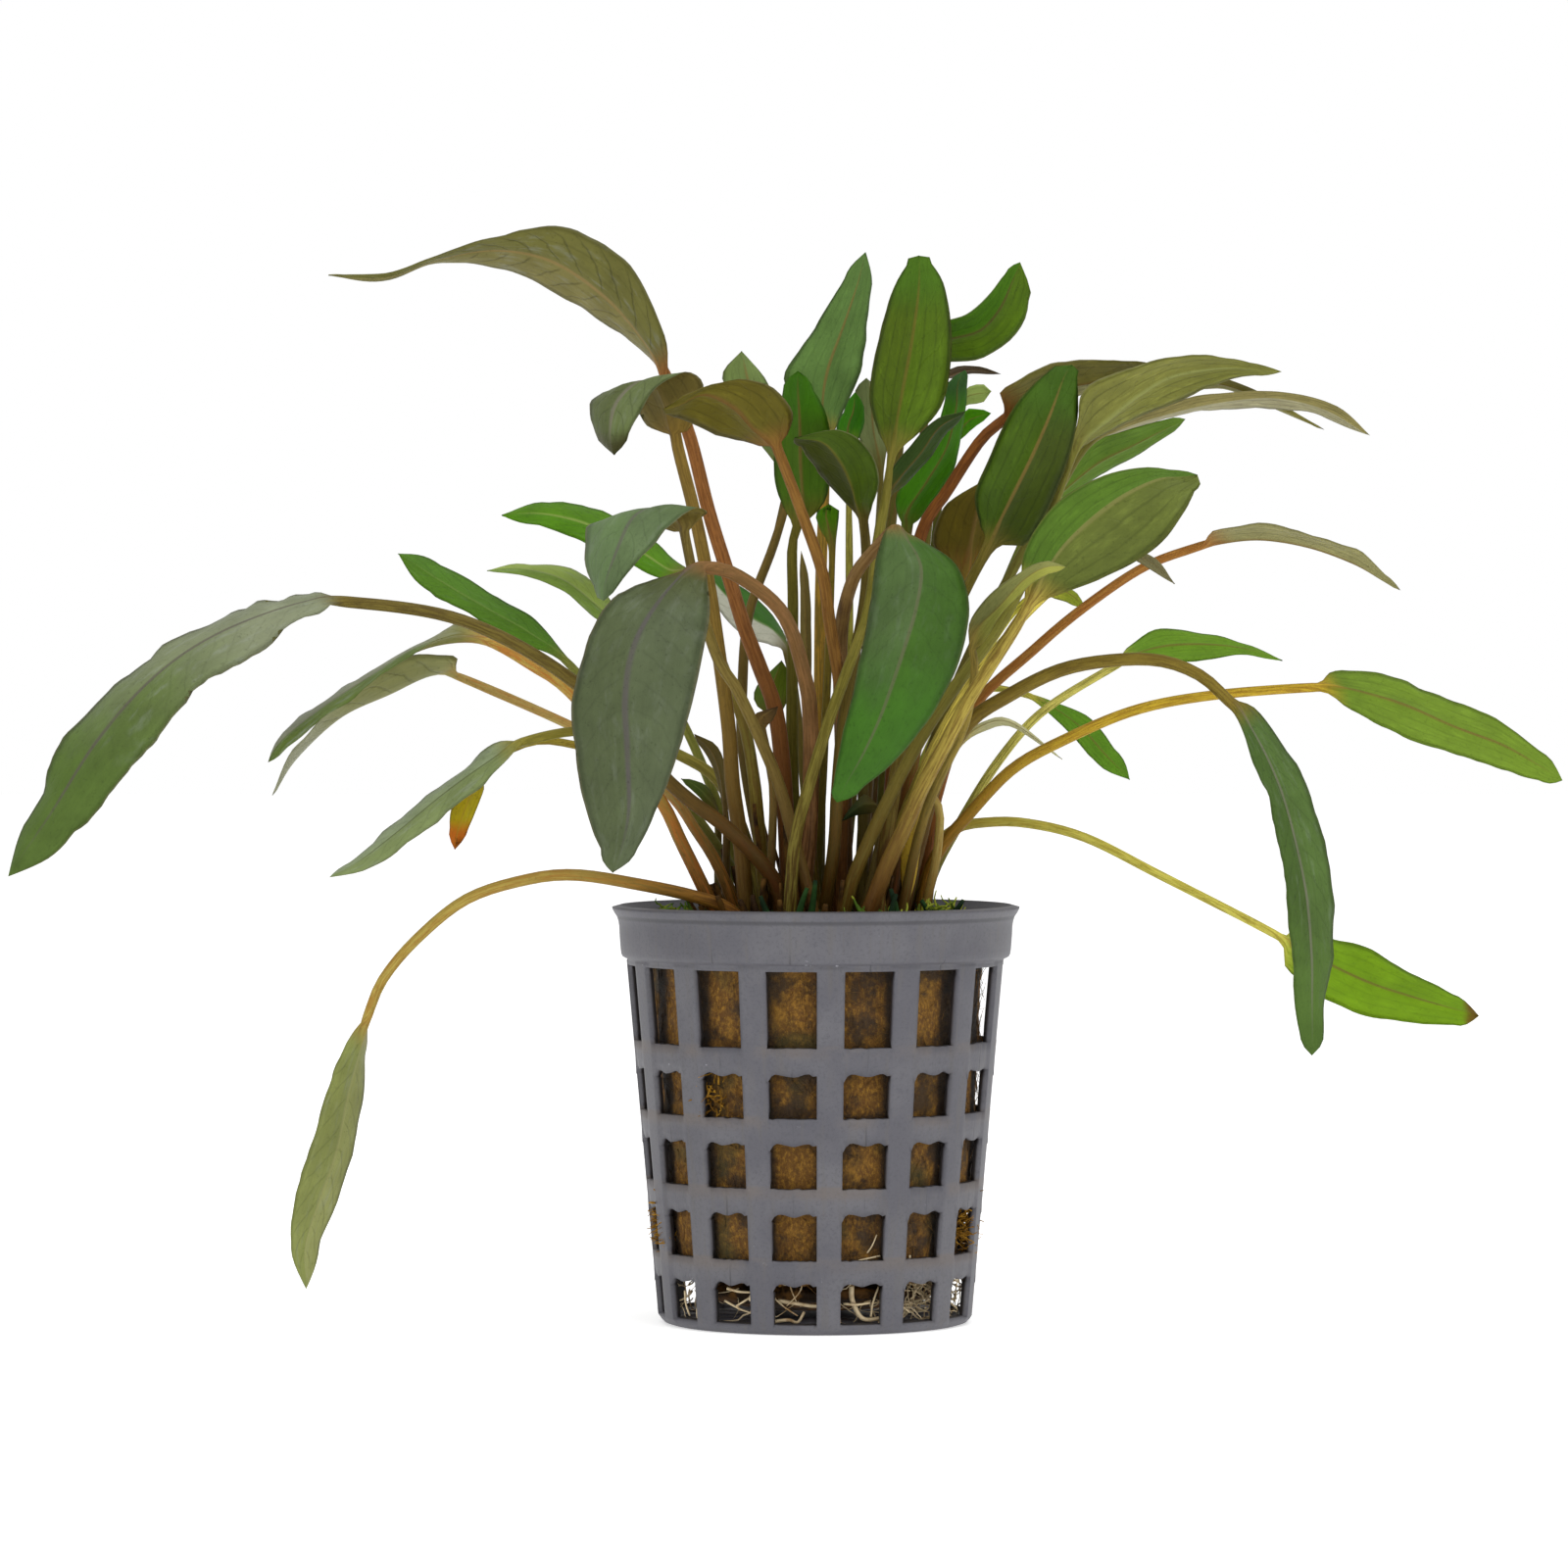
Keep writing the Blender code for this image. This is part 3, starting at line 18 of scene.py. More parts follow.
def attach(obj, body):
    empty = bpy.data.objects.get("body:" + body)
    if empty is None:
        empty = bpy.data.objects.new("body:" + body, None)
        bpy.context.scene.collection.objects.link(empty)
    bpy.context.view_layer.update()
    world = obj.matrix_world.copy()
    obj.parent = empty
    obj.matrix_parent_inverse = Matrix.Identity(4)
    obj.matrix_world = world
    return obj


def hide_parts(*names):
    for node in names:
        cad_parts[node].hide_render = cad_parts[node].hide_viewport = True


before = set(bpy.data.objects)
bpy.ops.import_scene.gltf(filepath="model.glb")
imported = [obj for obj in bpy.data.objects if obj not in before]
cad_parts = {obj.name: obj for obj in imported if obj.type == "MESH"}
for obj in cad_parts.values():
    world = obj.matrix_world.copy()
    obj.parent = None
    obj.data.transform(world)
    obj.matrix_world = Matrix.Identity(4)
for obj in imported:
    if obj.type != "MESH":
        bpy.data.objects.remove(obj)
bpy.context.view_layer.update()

# The camera
# The plant is seen from in front and a little above its pot's rim, from far off, so that the pot's
# sides hardly converge. The camera's place is also the point that the leaves were measured from.

MM = 0.001
VIEW_ACROSS = -3.9
VIEW_UP = 84.1
VIEW_DISTANCE = 900.0
VIEW_TILT_DOWN = 1.148
LENS = 168.48

camera_data = bpy.data.cameras.new("camera")
camera_data.lens = LENS
camera_data.sensor_width = 36.0
camera_data.clip_start = 0.01
camera_data.clip_end = 20.0
camera = bpy.data.objects.new("camera", camera_data)
camera.location = (VIEW_ACROSS * MM, -VIEW_DISTANCE * MM, VIEW_UP * MM)
camera.rotation_euler = (math.radians(90 - VIEW_TILT_DOWN), 0, 0)
bpy.context.scene.collection.objects.link(camera)
bpy.context.scene.camera = camera


# The net pot
# The basket is moulded in one shot of grey polypropylene: fifteen ribs and five rows of windows
# under a plain collar, and a flat floor with slots. The rim is turned out to a thin lip. The tops of
# the windows have rounded corners and sag in the middle, where the mould's two faces met.

TURN = 2 * math.pi
RIB_COUNT = 15
FIRST_RIB_DEGREES = 4.3
STEPS_PER_RIB = 20
RIB_STEPS = 7
WINDOW_STEPS = STEPS_PER_RIB - RIB_STEPS
WINDOW_ROW_STEP = 1.1
WALL = 1.0
WALL_FOOT_RADIUS = 19.2
WALL_TOP_RADIUS = 23.0
WALL_TOP = 44.0
FOOT_ROUNDING_HEIGHT = 1.1
RIB_RELIEF = 0.16
WINDOW_ROWS = ((1.1, 6.1), (9.0, 14.6), (17.7, 23.1), (26.2, 31.5), (34.7, 44.0))
LIP_AND_COLLAR = (
    (25.0, 51.0), (24.93, 50.75), (24.7, 50.3), (24.42, 49.9), (24.36, 49.75), (24.2, 49.2), (24.12, 48.6),
    (24.08, 47.7), (24.02, 46.8), (23.95, 45.9), (23.87, 45.3), (23.72, 45.0), (23.4, 44.82), (23.1, 44.7),
)
FOOT_ROUNDING = ((19.0, 0.6), (18.6, 0.2), (18.0, 0.02))
SLOT_RADII = (16.2, 7.0)
FLOOR_RADII = (17.4, SLOT_RADII[0], 14.0, 11.7, 9.3, SLOT_RADII[1], 4.0, 0.0)
STEP_DEGREES = 360 / RIB_COUNT / STEPS_PER_RIB
POT_SLOPE = (WALL_TOP_RADIUS - WALL_FOOT_RADIUS) / (WALL_TOP - FOOT_ROUNDING_HEIGHT)
POT_TONE = (76, 75, 82)
POT_LIGHT_TONE = (90, 89, 94)
WELD = 0.0005


class Field:
    """One socket of a material. Arithmetic adds Math nodes, and `node` adds any other node."""

    def __init__(self, tree, socket=None):
        self.tree = tree
        self.socket = socket

    def node(self, kind, settings, sockets, output=0):
        made = self.tree.nodes.new(kind)
        for setting, value in settings.items():
            setattr(made, setting, value)
        for key, value in sockets.items():
            target = made.inputs[key]
            if isinstance(value, Field):
                self.tree.links.new(value.socket, target)
            elif target.type == "RGBA":
                target.default_value = (*screen(value), 1.0)
            else:
                target.default_value = value
        return Field(self.tree, made.outputs[output])

    def math(self, operation, *values):
        return self.node("ShaderNodeMath", {"operation": operation}, dict(enumerate(values)))

    def __add__(self, other):
        return self.math("ADD", self, other)

    __radd__ = __add__

    def __sub__(self, other):
        return self.math("SUBTRACT", self, other)

    def __rsub__(self, other):
        return self.math("SUBTRACT", other, self)

    def __mul__(self, other):
        return self.math("MULTIPLY", self, other)

    __rmul__ = __mul__

    def __truediv__(self, other):
        return self.math("DIVIDE", self, other)

    def __pow__(self, other):
        return self.math("POWER", self, other)

    def __abs__(self):
        return self.math("ABSOLUTE", self)

    def rise(self, low, high):
        """0 below low and 1 above high, smoothly; low may be the greater one."""
        sockets = {"Value": self, "From Min": low, "From Max": high}
        return self.node("ShaderNodeMapRange", {"interpolation_type": "SMOOTHSTEP"}, sockets)

    def blend(self, below, above, factor):
        """One colour with another laid over it where the factor is 1."""
        return self.node("ShaderNodeMix", {"data_type": "RGBA"}, {0: factor, 6: below, 7: above}, 2)

    def tint(self, other, factor):
        return self.blend(self, other, factor)

    def shade(self, factor):
        """This colour, made darker below a factor of 1 and lighter above it."""
        return self.node("ShaderNodeVectorMath", {"operation": "SCALE"}, {0: self, "Scale": factor})

    def place(self):
        """Where on the object, in metres."""
        return self.node("ShaderNodeTexCoord", {}, {}, 3)

    def parts(self, vector):
        split = self.node("ShaderNodeSeparateXYZ", {}, {0: vector}).socket.node
        return [Field(self.tree, part) for part in split.outputs]

    def noise(self, vector, scale, detail=3.0, roughness=0.55):
        sockets = {"Vector": vector, "Scale": scale, "Detail": detail, "Roughness": roughness}
        return self.node("ShaderNodeTexNoise", {}, sockets)

    def stretched(self, scales, detail, roughness):
        """Noise with a scale of its own along each axis."""
        drawn_out = {0: self.place(), 1: scales}
        drawn_out = self.node("ShaderNodeVectorMath", {"operation": "MULTIPLY"}, drawn_out)
        return self.noise(drawn_out, 1.0, detail, roughness)


def screen(levels):
    """Linear light of a colour as it looks on a screen, 0 to 255."""
    shares = [level / 255 for level in levels]
    return tuple(s / 12.92 if s <= 0.04045 else ((s + 0.055) / 1.055) ** 2.4 for s in shares)


def new_finish(name):
    """A material, its node tree as an empty Field, and its shader's inputs."""
    made = bpy.data.materials.new(name)
    made.use_nodes = True
    return made, Field(made.node_tree), made.node_tree.nodes["Principled BSDF"].inputs


def feed(field, target):
    field.tree.links.new(field.socket, target)


def coat(shader, base, roughness, relief, strength, depth):
    """Feed a shader its colour, its roughness and a bump of the relief, so many metres deep."""
    feed(base, shader["Base Color"])
    feed(roughness, shader["Roughness"])
    sockets = {"Strength": strength, "Distance": depth, "Height": relief}
    feed(relief.node("ShaderNodeBump", {}, sockets), shader["Normal"])


def from_first_rib(paint, across, depth):
    """Degrees round the pot from the middle of the first rib."""
    return paint.math("ARCTAN2", across, 0 - depth) * (180 / math.pi) - FIRST_RIB_DEGREES


def place_piece(mesh, name, finish, node_names):
    """A finished object from a bmesh in millimetres, riding on the plant's one body."""
    bmesh.ops.scale(mesh, verts=mesh.verts, vec=(MM, MM, MM))
    for face in mesh.faces:
        face.smooth = True
    data = bpy.data.meshes.new(name)
    mesh.to_mesh(data)
    mesh.free()
    data.materials.append(finish)
    made = bpy.data.objects.new(name, data)
    bpy.context.scene.collection.objects.link(made)
    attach(made, "root")
    if node_names:
        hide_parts(*node_names)


def outer_radius(height):
    return WALL_FOOT_RADIUS + POT_SLOPE * (height - FOOT_ROUNDING_HEIGHT)


def pot_profile():
    """Radius and height down the outside of the pot, from the lip to the middle of the floor."""
    heights = []
    band_top = LIP_AND_COLLAR[-1][1]
    for low, high in reversed(WINDOW_ROWS):
        heights += [band_top + (high - band_top) * share for share in (1 / 3, 2 / 3)]
        steps = max(4, round((high - low) / WINDOW_ROW_STEP))
        heights += [high + (low - high) * step / steps for step in range(steps + 1)]
        band_top = low
    points = list(LIP_AND_COLLAR) + [(outer_radius(height), height) for height in heights]
    return points + list(FOOT_ROUNDING) + [(radius, 0.0) for radius in FLOOR_RADII]


def window_place(x, y):
    """Steps round the pot from the nearest rib's left side, and whether that is over a window."""
    degrees = math.degrees(math.atan2(x, -y)) - FIRST_RIB_DEGREES + RIB_STEPS / 2 * STEP_DEGREES
    step = degrees / STEP_DEGREES % STEPS_PER_RIB
    return step, step > RIB_STEPS


pot = bmesh.new()
start_turn = Matrix.Rotation(math.radians(FIRST_RIB_DEGREES - RIB_STEPS / 2 * STEP_DEGREES), 3, "Z")
profile = [pot.verts.new((0.0, -radius, height)) for radius, height in pot_profile()]
profile_edges = [pot.edges.new(pair) for pair in zip(profile, profile[1:])]
bmesh.ops.rotate(pot, verts=profile, cent=(0, 0, 0), matrix=start_turn)
bmesh.ops.spin(
    pot,
    geom=profile + profile_edges,
    cent=(0, 0, 0),
    axis=(0, 0, 1),
    angle=TURN,
    steps=RIB_COUNT * STEPS_PER_RIB,
    use_merge=True,
)
bmesh.ops.remove_doubles(pot, verts=pot.verts, dist=WELD)
openings = []
for face in pot.faces:
    middle = face.calc_center_median()
    _, in_window = window_place(middle.x, middle.y)
    in_row = any(low < middle.z < high for low, high in WINDOW_ROWS)
    in_slot = middle.z < 0.01 and SLOT_RADII[1] < math.hypot(middle.x, middle.y) < SLOT_RADII[0]
    if in_window and (in_row or in_slot):
        openings.append(face)
bmesh.ops.delete(pot, geom=openings, context="FACES")

# The mould left every window's edge a little uneven
for vertex in pot.verts:
    step, _ = window_place(vertex.co.x, vertex.co.y)
    step = round(step) % STEPS_PER_RIB
    outward = Vector((vertex.co.x, vertex.co.y, 0)).normalized()
    if step <= RIB_STEPS and FOOT_ROUNDING_HEIGHT < vertex.co.z < WALL_TOP + 0.5:
        vertex.co += outward * RIB_RELIEF
    if step < RIB_STEPS:
        continue
    from_middle = abs(2 * (step - RIB_STEPS) / WINDOW_STEPS - 1)
    for low, high in WINDOW_ROWS[:4]:
        if abs(vertex.co.z - high) < 0.01:
            hump = 0.17 * math.cos(math.pi * (from_middle - 0.6) / 0.6)
            corner = 0.75 * max(0.0, (from_middle - 0.7) / 0.3) ** 2
            ripple = 0.14 * noise.noise(Vector((vertex.co.x * 0.9, vertex.co.y * 0.9, high)))
            vertex.co.z += hump - corner + ripple
    for low, high in WINDOW_ROWS[1:]:
        if abs(vertex.co.z - low) < 0.01:
            vertex.co.z += 0.16 * noise.noise(Vector((vertex.co.x * 2.3, vertex.co.y * 2.3, low)))

bmesh.ops.recalc_face_normals(pot, faces=pot.faces)
bmesh.ops.solidify(pot, geom=pot.faces[:], thickness=WALL)


def pot_finish():
    finish, paint, shader = new_finish("grey_polypropylene")
    spot = paint.place()
    across, depth, height = paint.parts(spot)
    height = height / MM
    # Distance in degrees from the middle of the nearest window
    pitch = 360 / RIB_COUNT
    seam = abs(paint.math("PINGPONG", from_first_rib(paint, across, depth), pitch / 2) - pitch / 2)
    cloud = paint.noise(spot, 90.0, 5.0, 0.6)
    grain = paint.noise(spot, 2600.0, 2.0, 0.7)
    streaks = paint.stretched((900.0, 900.0, 45.0), 3.0, 0.6)
    wear = paint.stretched((500.0, 500.0, 500.0), 4.0, 0.7)
    base = paint.blend(POT_TONE, POT_LIGHT_TONE, cloud.rise(0.35, 0.68))
    base = base.tint((60, 60, 66), grain.rise(0.45, 0.8) * 0.55)
    base = base.tint((86, 82, 79), streaks.rise(0.50, 0.72) * 0.4)
    # Brown water has dried along the lower part of each band
    for low, high in WINDOW_ROWS[1:]:
        stain = height.rise(low - 1.8, low - 0.4) * height.rise(low + 0.6, low + 0.2) * cloud.rise(0.4, 0.6)
        base = base.tint((98, 86, 76), stain * 0.45)
    # A fine dark line where the mould's faces met, clearest just above each window
    above_window = 0.15
    for low, high in WINDOW_ROWS:
        near = height.rise(high + 3.2, high + 0.4) * height.rise(high - 0.6, high - 0.2)
        above_window = paint.math("MAXIMUM", near, above_window)
    line = seam.rise(0.40, 0.10) * streaks.rise(0.44, 0.6) * height.rise(2.0, 4.0) * above_window
    base = base.tint((52, 52, 58), line * 0.7)
    # The lip throws a thin shadow on the collar below it
    base = base.tint((40, 40, 44), height.rise(49.45, 49.8) * height.rise(50.2, 49.95) * 0.6)
    scuffs = wear.rise(0.70, 0.76)
    base = base.tint((160, 160, 168), scuffs * 0.6)
    # The inside of the wall is made nearly black
    reach = (across * across + depth * depth) ** 0.5 / MM
    skin = (WALL_FOOT_RADIUS - 0.45) + (height - FOOT_ROUNDING_HEIGHT) * POT_SLOPE
    base = base.tint((46, 44, 46), (reach - skin).rise(0.1, -0.1) * height.rise(0.9, 1.3))
    relief = grain * 0.35 + streaks * 0.4 - line * 1.5 + wear * 0.3
    coat(shader, base, 0.46 + cloud * 0.16 - scuffs * 0.1, relief, 0.35, 0.0002)
    return finish


place_piece(pot, "net_pot_basket", pot_finish(), ["net_pot"])


# The rock wool
# A plug of ochre mineral wool fills the basket. It is a felt of fine glassy fibres, dark where it
# is wet and stained by algae, and tufts of it are pushed out through some of the windows.

WOOL_BOTTOM = 6.0
WOOL_TOP = 46.4
WOOL_GAP = 0.75
WOOL_ROUNDING = 0.12
STRAND_COUNT = 2600
LUMP_WELD = 0.004
FIBRE_WELD = 0.00005
DULL_SHINE = 0.12
# Tufts of wool poke out through the windows: (degrees from the front, height, count)
TUFTS = ((-76, 13.2, 60), (-70, 11.4, 40), (72, 12.6, 60), (78, 10.8, 50), (-38, 28.2, 40))
RAG_RADIUS = 15.5
RAG_BOTTOM = 1.5
RAG_TOP = 7.5
RAG_LEFT_END = -12.5
random.seed(5)


def mix(low, high, share):
    return low + (high - low) * share


def round_axis(angle, reach, height):
    """The point at an angle from the front, to the right, round the pot's axis."""
    return Vector((reach * math.sin(angle), -reach * math.cos(angle), height))


def lump(turn_steps, rows, point_at):
    """A closed lump. point_at gives the point at an angle round it and a share of the way up."""
    mesh = bmesh.new()
    bmesh.ops.create_grid(mesh, x_segments=turn_steps, y_segments=rows, size=1.0)
    for vertex in mesh.verts:
        vertex.co = point_at((vertex.co.x + 1) * math.pi, (vertex.co.y + 1) / 2)
    bmesh.ops.remove_doubles(mesh, verts=mesh.verts, dist=LUMP_WELD)
    bmesh.ops.recalc_face_normals(mesh, faces=mesh.faces)
    return mesh


def lumps_at(angle, pitch, height):
    """Noise that closes on itself round the axis."""
    return noise.noise(Vector((math.sin(angle) * pitch, math.cos(angle) * pitch, height)))


def wool_edge(angle, height):
    """The plug's radius: it bulges a little into the windows and thins toward the top."""
    slack = 0.9 * max(0.0, (height - 24) / 22)
    bulge = 0.45 * lumps_at(angle, 2.2, height * 0.12) + 0.2 * lumps_at(angle, 9, height * 0.5)
    return outer_radius(height) - WALL - WOOL_GAP - slack + bulge


def wool_point(angle, row):
    side_row = min(1.0, max(0.0, (row - WOOL_ROUNDING) / (1 - 2 * WOOL_ROUNDING)))
    height = mix(WOOL_BOTTOM, WOOL_TOP, side_row)
    inward = max(0.0, WOOL_ROUNDING - row, row - 1 + WOOL_ROUNDING) / WOOL_ROUNDING
    reach = wool_edge(angle, height) * (1 - inward)
    if 0 < inward < 0.999:
        height += 0.5 * noise.noise(Vector((reach * math.sin(angle), math.degrees(angle) * 0.02, row)))
    return round_axis(angle, reach, height)


def wool_finish(name, lightness):
    finish, paint, shader = new_finish(name)
    spot = paint.place()
    swirl = paint.noise(spot, 160.0, 2.0, 0.5)
    felt = paint.stretched((2400.0, 2400.0, 1300.0), 6.0, 0.8)
    cross = paint.stretched((1100.0, 1100.0, 1700.0), 5.0, 0.75)
    damp = paint.noise(spot, 150.0, 6.0, 0.72)
    algae = paint.noise(spot, 120.0, 3.0, 0.5)
    base = paint.blend((104, 68, 14), (158, 114, 34), felt.rise(0.44, 0.64))
    base = base.tint((74, 46, 10), cross.rise(0.50, 0.66) * 0.6)
    base = base.tint((172, 126, 40), swirl.rise(0.50, 0.70) * lightness)
    base = base.tint((40, 26, 8), damp.rise(0.45, 0.60) * 0.85)
    base = base.tint((52, 56, 20), algae.rise(0.56, 0.70) * 0.6)
    # Painted shade makes it darkest behind the ribs, where they shade it
    across, depth, _ = paint.parts(spot)
    from_rib = paint.math("PINGPONG", from_first_rib(paint, across, depth), 180 / RIB_COUNT)
    base = base.tint((30, 20, 10), (from_rib + damp * 3).rise(7.2, 4.6) * 0.8)
    roughness = 0.85 - damp.rise(0.52, 0.70) * 0.2
    coat(shader, base, roughness, felt + cross * 0.8 + damp, 0.8, 0.0004)
    return finish


def scrap_finish(name, dark, light):
    """Loose scraps of wool or plant, in two tones, with their fibres upright."""
    finish, paint, shader = new_finish(name)
    patches = paint.noise(paint.place(), 330.0, 4.0, 0.6)
    fibre = paint.stretched((2600.0, 2600.0, 260.0), 3.0, 0.6)
    base = paint.blend(dark, light, patches.rise(0.42, 0.62)).shade(0.6 + fibre * 0.8)
    shader["Specular IOR Level"].default_value = DULL_SHINE
    coat(shader, base, 0.6 + fibre * 0.2, fibre, 0.5, 0.0002)
    return finish


def fibres(name, paths, finish, node_names=(), sides=0):
    """Round strands along paths of (point, radius) pairs, in millimetres."""
    curve = bpy.data.curves.new(name, "CURVE")
    curve.dimensions = "3D"
    curve.bevel_depth = 1.0
    curve.bevel_resolution = sides
    curve.use_fill_caps = True
    for path in paths:
        spline = curve.splines.new("POLY")
        spline.points.add(len(path) - 1)
        for knot, (point, radius) in zip(spline.points, path):
            knot.co = (*point, 1.0)
            knot.radius = radius
    drawn = bpy.data.objects.new(name + "_path", curve)
    bpy.context.scene.collection.objects.link(drawn)
    data = bpy.data.meshes.new_from_object(drawn.evaluated_get(bpy.context.evaluated_depsgraph_get()))
    mesh = bmesh.new()
    mesh.from_mesh(data)
    bpy.data.objects.remove(drawn, do_unlink=True)
    bpy.data.meshes.remove(data)
    bpy.data.curves.remove(curve)
    bmesh.ops.remove_doubles(mesh, verts=mesh.verts, dist=FIBRE_WELD)
    bmesh.ops.recalc_face_normals(mesh, faces=mesh.faces)
    place_piece(mesh, name, finish, list(node_names))


def strand(start, heading, length, radius, curl, steps=5):
    """A short curling fibre."""
    point = Vector(start)
    direction = Vector(heading).normalized()
    path = []
    for step in range(steps + 1):
        path.append((point.copy(), radius * (1 - 0.6 * step / steps)))
        direction += Vector([random.uniform(-curl, curl) for _ in range(3)])
        direction.normalize()
        point += direction * length / steps
    return path


def rag_point(angle, row):
    """The wool's lower side hangs in rags, almost down to the floor, except at the far left."""
    edge = RAG_RADIUS + 1.6 * lumps_at(angle, 2.4, 4.0)
    belly = math.sin(math.pi * row)
    lumpy = lumps_at(angle, 7, row * 6) * belly
    point = round_axis(angle, edge * belly**0.6 + 0.7 * lumpy, mix(RAG_BOTTOM, RAG_TOP, row) + 0.5 * lumpy)
    if point.x < RAG_LEFT_END:
        point.x = mix(RAG_LEFT_END, point.x, 0.2)
    return point


plug = lump(220, 60, wool_point)
place_piece(plug, "rock_wool_plug", wool_finish("mineral_wool", 0.35), ["rock_wool"])

wool_strands = []
for _ in range(STRAND_COUNT):
    angle = math.radians(random.uniform(0, 360))
    height = random.uniform(WOOL_BOTTOM + 0.3, WOOL_TOP - 0.8)
    along = Vector((math.cos(angle), math.sin(angle), 0)) * random.uniform(-1, 1)
    heading = along + round_axis(angle, 0.04, random.uniform(-1.3, 1.3))
    start = round_axis(angle, wool_edge(angle, height) + 0.02, height)
    wool_strands.append(strand(start, heading, random.uniform(1.5, 4.0), random.uniform(0.03, 0.07), 0.16))
fibres("rock_wool_fibres", wool_strands, wool_finish("mineral_wool_fibre", 0.6))

tufts = []
for degrees, height, count in TUFTS:
    for _ in range(count):
        angle = math.radians(degrees + random.gauss(0, 3))
        level = height + random.gauss(0, 1.3)
        heading = round_axis(angle, 1.2, 0) + Vector([random.uniform(-1, 1) for _ in range(3)])
        start = round_axis(angle, wool_edge(angle, level) + 0.4, level)
        tufts.append(strand(start, heading, random.uniform(1.4, 2.6), random.uniform(0.06, 0.16), 0.5))
fibres("rock_wool_tufts", tufts, scrap_finish("dry_wool", (112, 78, 22), (172, 128, 42)))
rags = lump(110, 30, rag_point)
place_piece(rags, "rock_wool_rags", scrap_finish("wet_wool", (38, 26, 14), (108, 74, 34)), [])


# The leaves
# Each leaf is one growth: a ribbed stalk that leaves the rootstock, and a lance-shaped blade folded
# along its midrib. The blade is under half a millimetre thick, its edge is slightly ruffled, and
# side veins run forward from the midrib.

MIDRIB_CROWDING = 1.6
STALK_PITCH = 1.6
BLADE_PITCH = 0.9
ACROSS_CELLS = 14
AROUND_CELLS = 2 * ACROSS_CELLS
BLADE_HALF_THICKNESS = 0.17
EDGE_HALF_THICKNESS = 0.05
BLADE_ROOT_LENGTH = 5.0
FOOT_HEIGHT = 48.3
FOOT_FLARE = 0.4
RIB_END_SHARE = 0.3
LEAST_TURN = 0.15
CURVE_SAMPLES = 200
RUN_STEP = 0.05


def seen(point):
    """The real position of a measured (across, up, depth) point, in millimetres."""
    across, up, depth = point
    reach = (VIEW_DISTANCE + depth) / VIEW_DISTANCE
    return Vector((VIEW_ACROSS + (across - VIEW_ACROSS) * reach, depth, VIEW_UP + (up - VIEW_UP) * reach))


def along_curve(points, parameter):
    """A point on the Catmull-Rom curve through the points, at 0 to len(points) - 1."""
    last = len(points) - 1
    index = min(int(parameter), last - 1)
    share = parameter - index
    start = points[index]
    end = points[index + 1]
    before = points[index - 1] if index > 0 else start * 2 - end
    after = points[index + 2] if index + 2 <= last else end * 2 - start
    return 0.5 * (
        start * 2
        + (end - before) * share
        + (before * 2 - start * 5 + end * 4 - after) * share**2
        + (start * 3 - before - end * 3 + after) * share**3
    )


def even_steps(points, low, high, pitch):
    """Curve parameters between two knots, evenly spaced along the curve, and the length between."""
    fine = [mix(low, high, step / CURVE_SAMPLES) for step in range(CURVE_SAMPLES + 1)]
    places = [along_curve(points, at) for at in fine]
    lengths = [0.0]
    for here, there in zip(places, places[1:]):
        lengths.append(lengths[-1] + (there - here).length)
    count = max(4, round(lengths[-1] / pitch))
    found = []
    at = 0
    for step in range(count + 1):
        goal = lengths[-1] * step / count
        while at < CURVE_SAMPLES - 1 and lengths[at + 1] < goal:
            at += 1
        span = max(1e-9, lengths[at + 1] - lengths[at])
        found.append(mix(fine[at], fine[at + 1], min(1.0, (goal - lengths[at]) / span)))
    return found, lengths[-1]


def gentle(value, low, high):
    share = min(1.0, max(0.0, (value - low) / (high - low)))
    return share * share * (3 - 2 * share)


def leaf_guides(radius, stalk, blade, tip):
    """Points of the midrib and of both edges, from foot to tip, and the last stalk point's index."""
    foot_across, foot_depth = stalk[0]
    middle = [Vector((foot_across, foot_depth, FOOT_HEIGHT))] + [seen(point) for point in stalk[1:]]
    base = len(middle) - 1
    rails = [[seen(section[at : at + 3]) for section in blade] + [seen(tip)] for at in (0, 3, 6)]
    lefts, centres, rights = rails
    middle += centres
    side = (rights[0] - lefts[0]).normalized()
    near = []
    far = []
    for index in reversed(range(base + 1)):
        along = (middle[index + 1] - middle[max(index - 1, 0)]).normalized()
        side = (side - along * side.dot(along)).normalized()
        stalk_radius = radius * (1 + FOOT_FLARE * (1 - index / base))
        near.insert(0, middle[index] - side * stalk_radius)
        far.insert(0, middle[index] + side * stalk_radius)
    return middle, near + lefts, far + rights, base


def leaf_grid(rows):
    """A sheet with its UV map, to be wrapped round the leaf, and its vertices row by row."""
    mesh = bmesh.new()
    last = len(rows) - 1
    bmesh.ops.create_grid(mesh, x_segments=AROUND_CELLS, y_segments=last, size=1.0)
    uv = mesh.loops.layers.uv.new("leaf")
    by_row = [[] for _ in rows]
    for vertex in mesh.verts:
        column = round((vertex.co.x + 1) / 2 * AROUND_CELLS)
        row = round((vertex.co.y + 1) / 2 * last)
        by_row[row].append((column, vertex))
        for loop in vertex.link_loops:
            loop[uv].uv = (column / AROUND_CELLS, rows[row][1])
    return mesh, by_row


def across_to(along, start, end, fallback):
    """The way out of the blade's face between two points, where they lie well apart from its run."""
    found = along.cross((end - start).normalized())
    return found.normalized() if fallback is None or found.length > LEAST_TURN else fallback


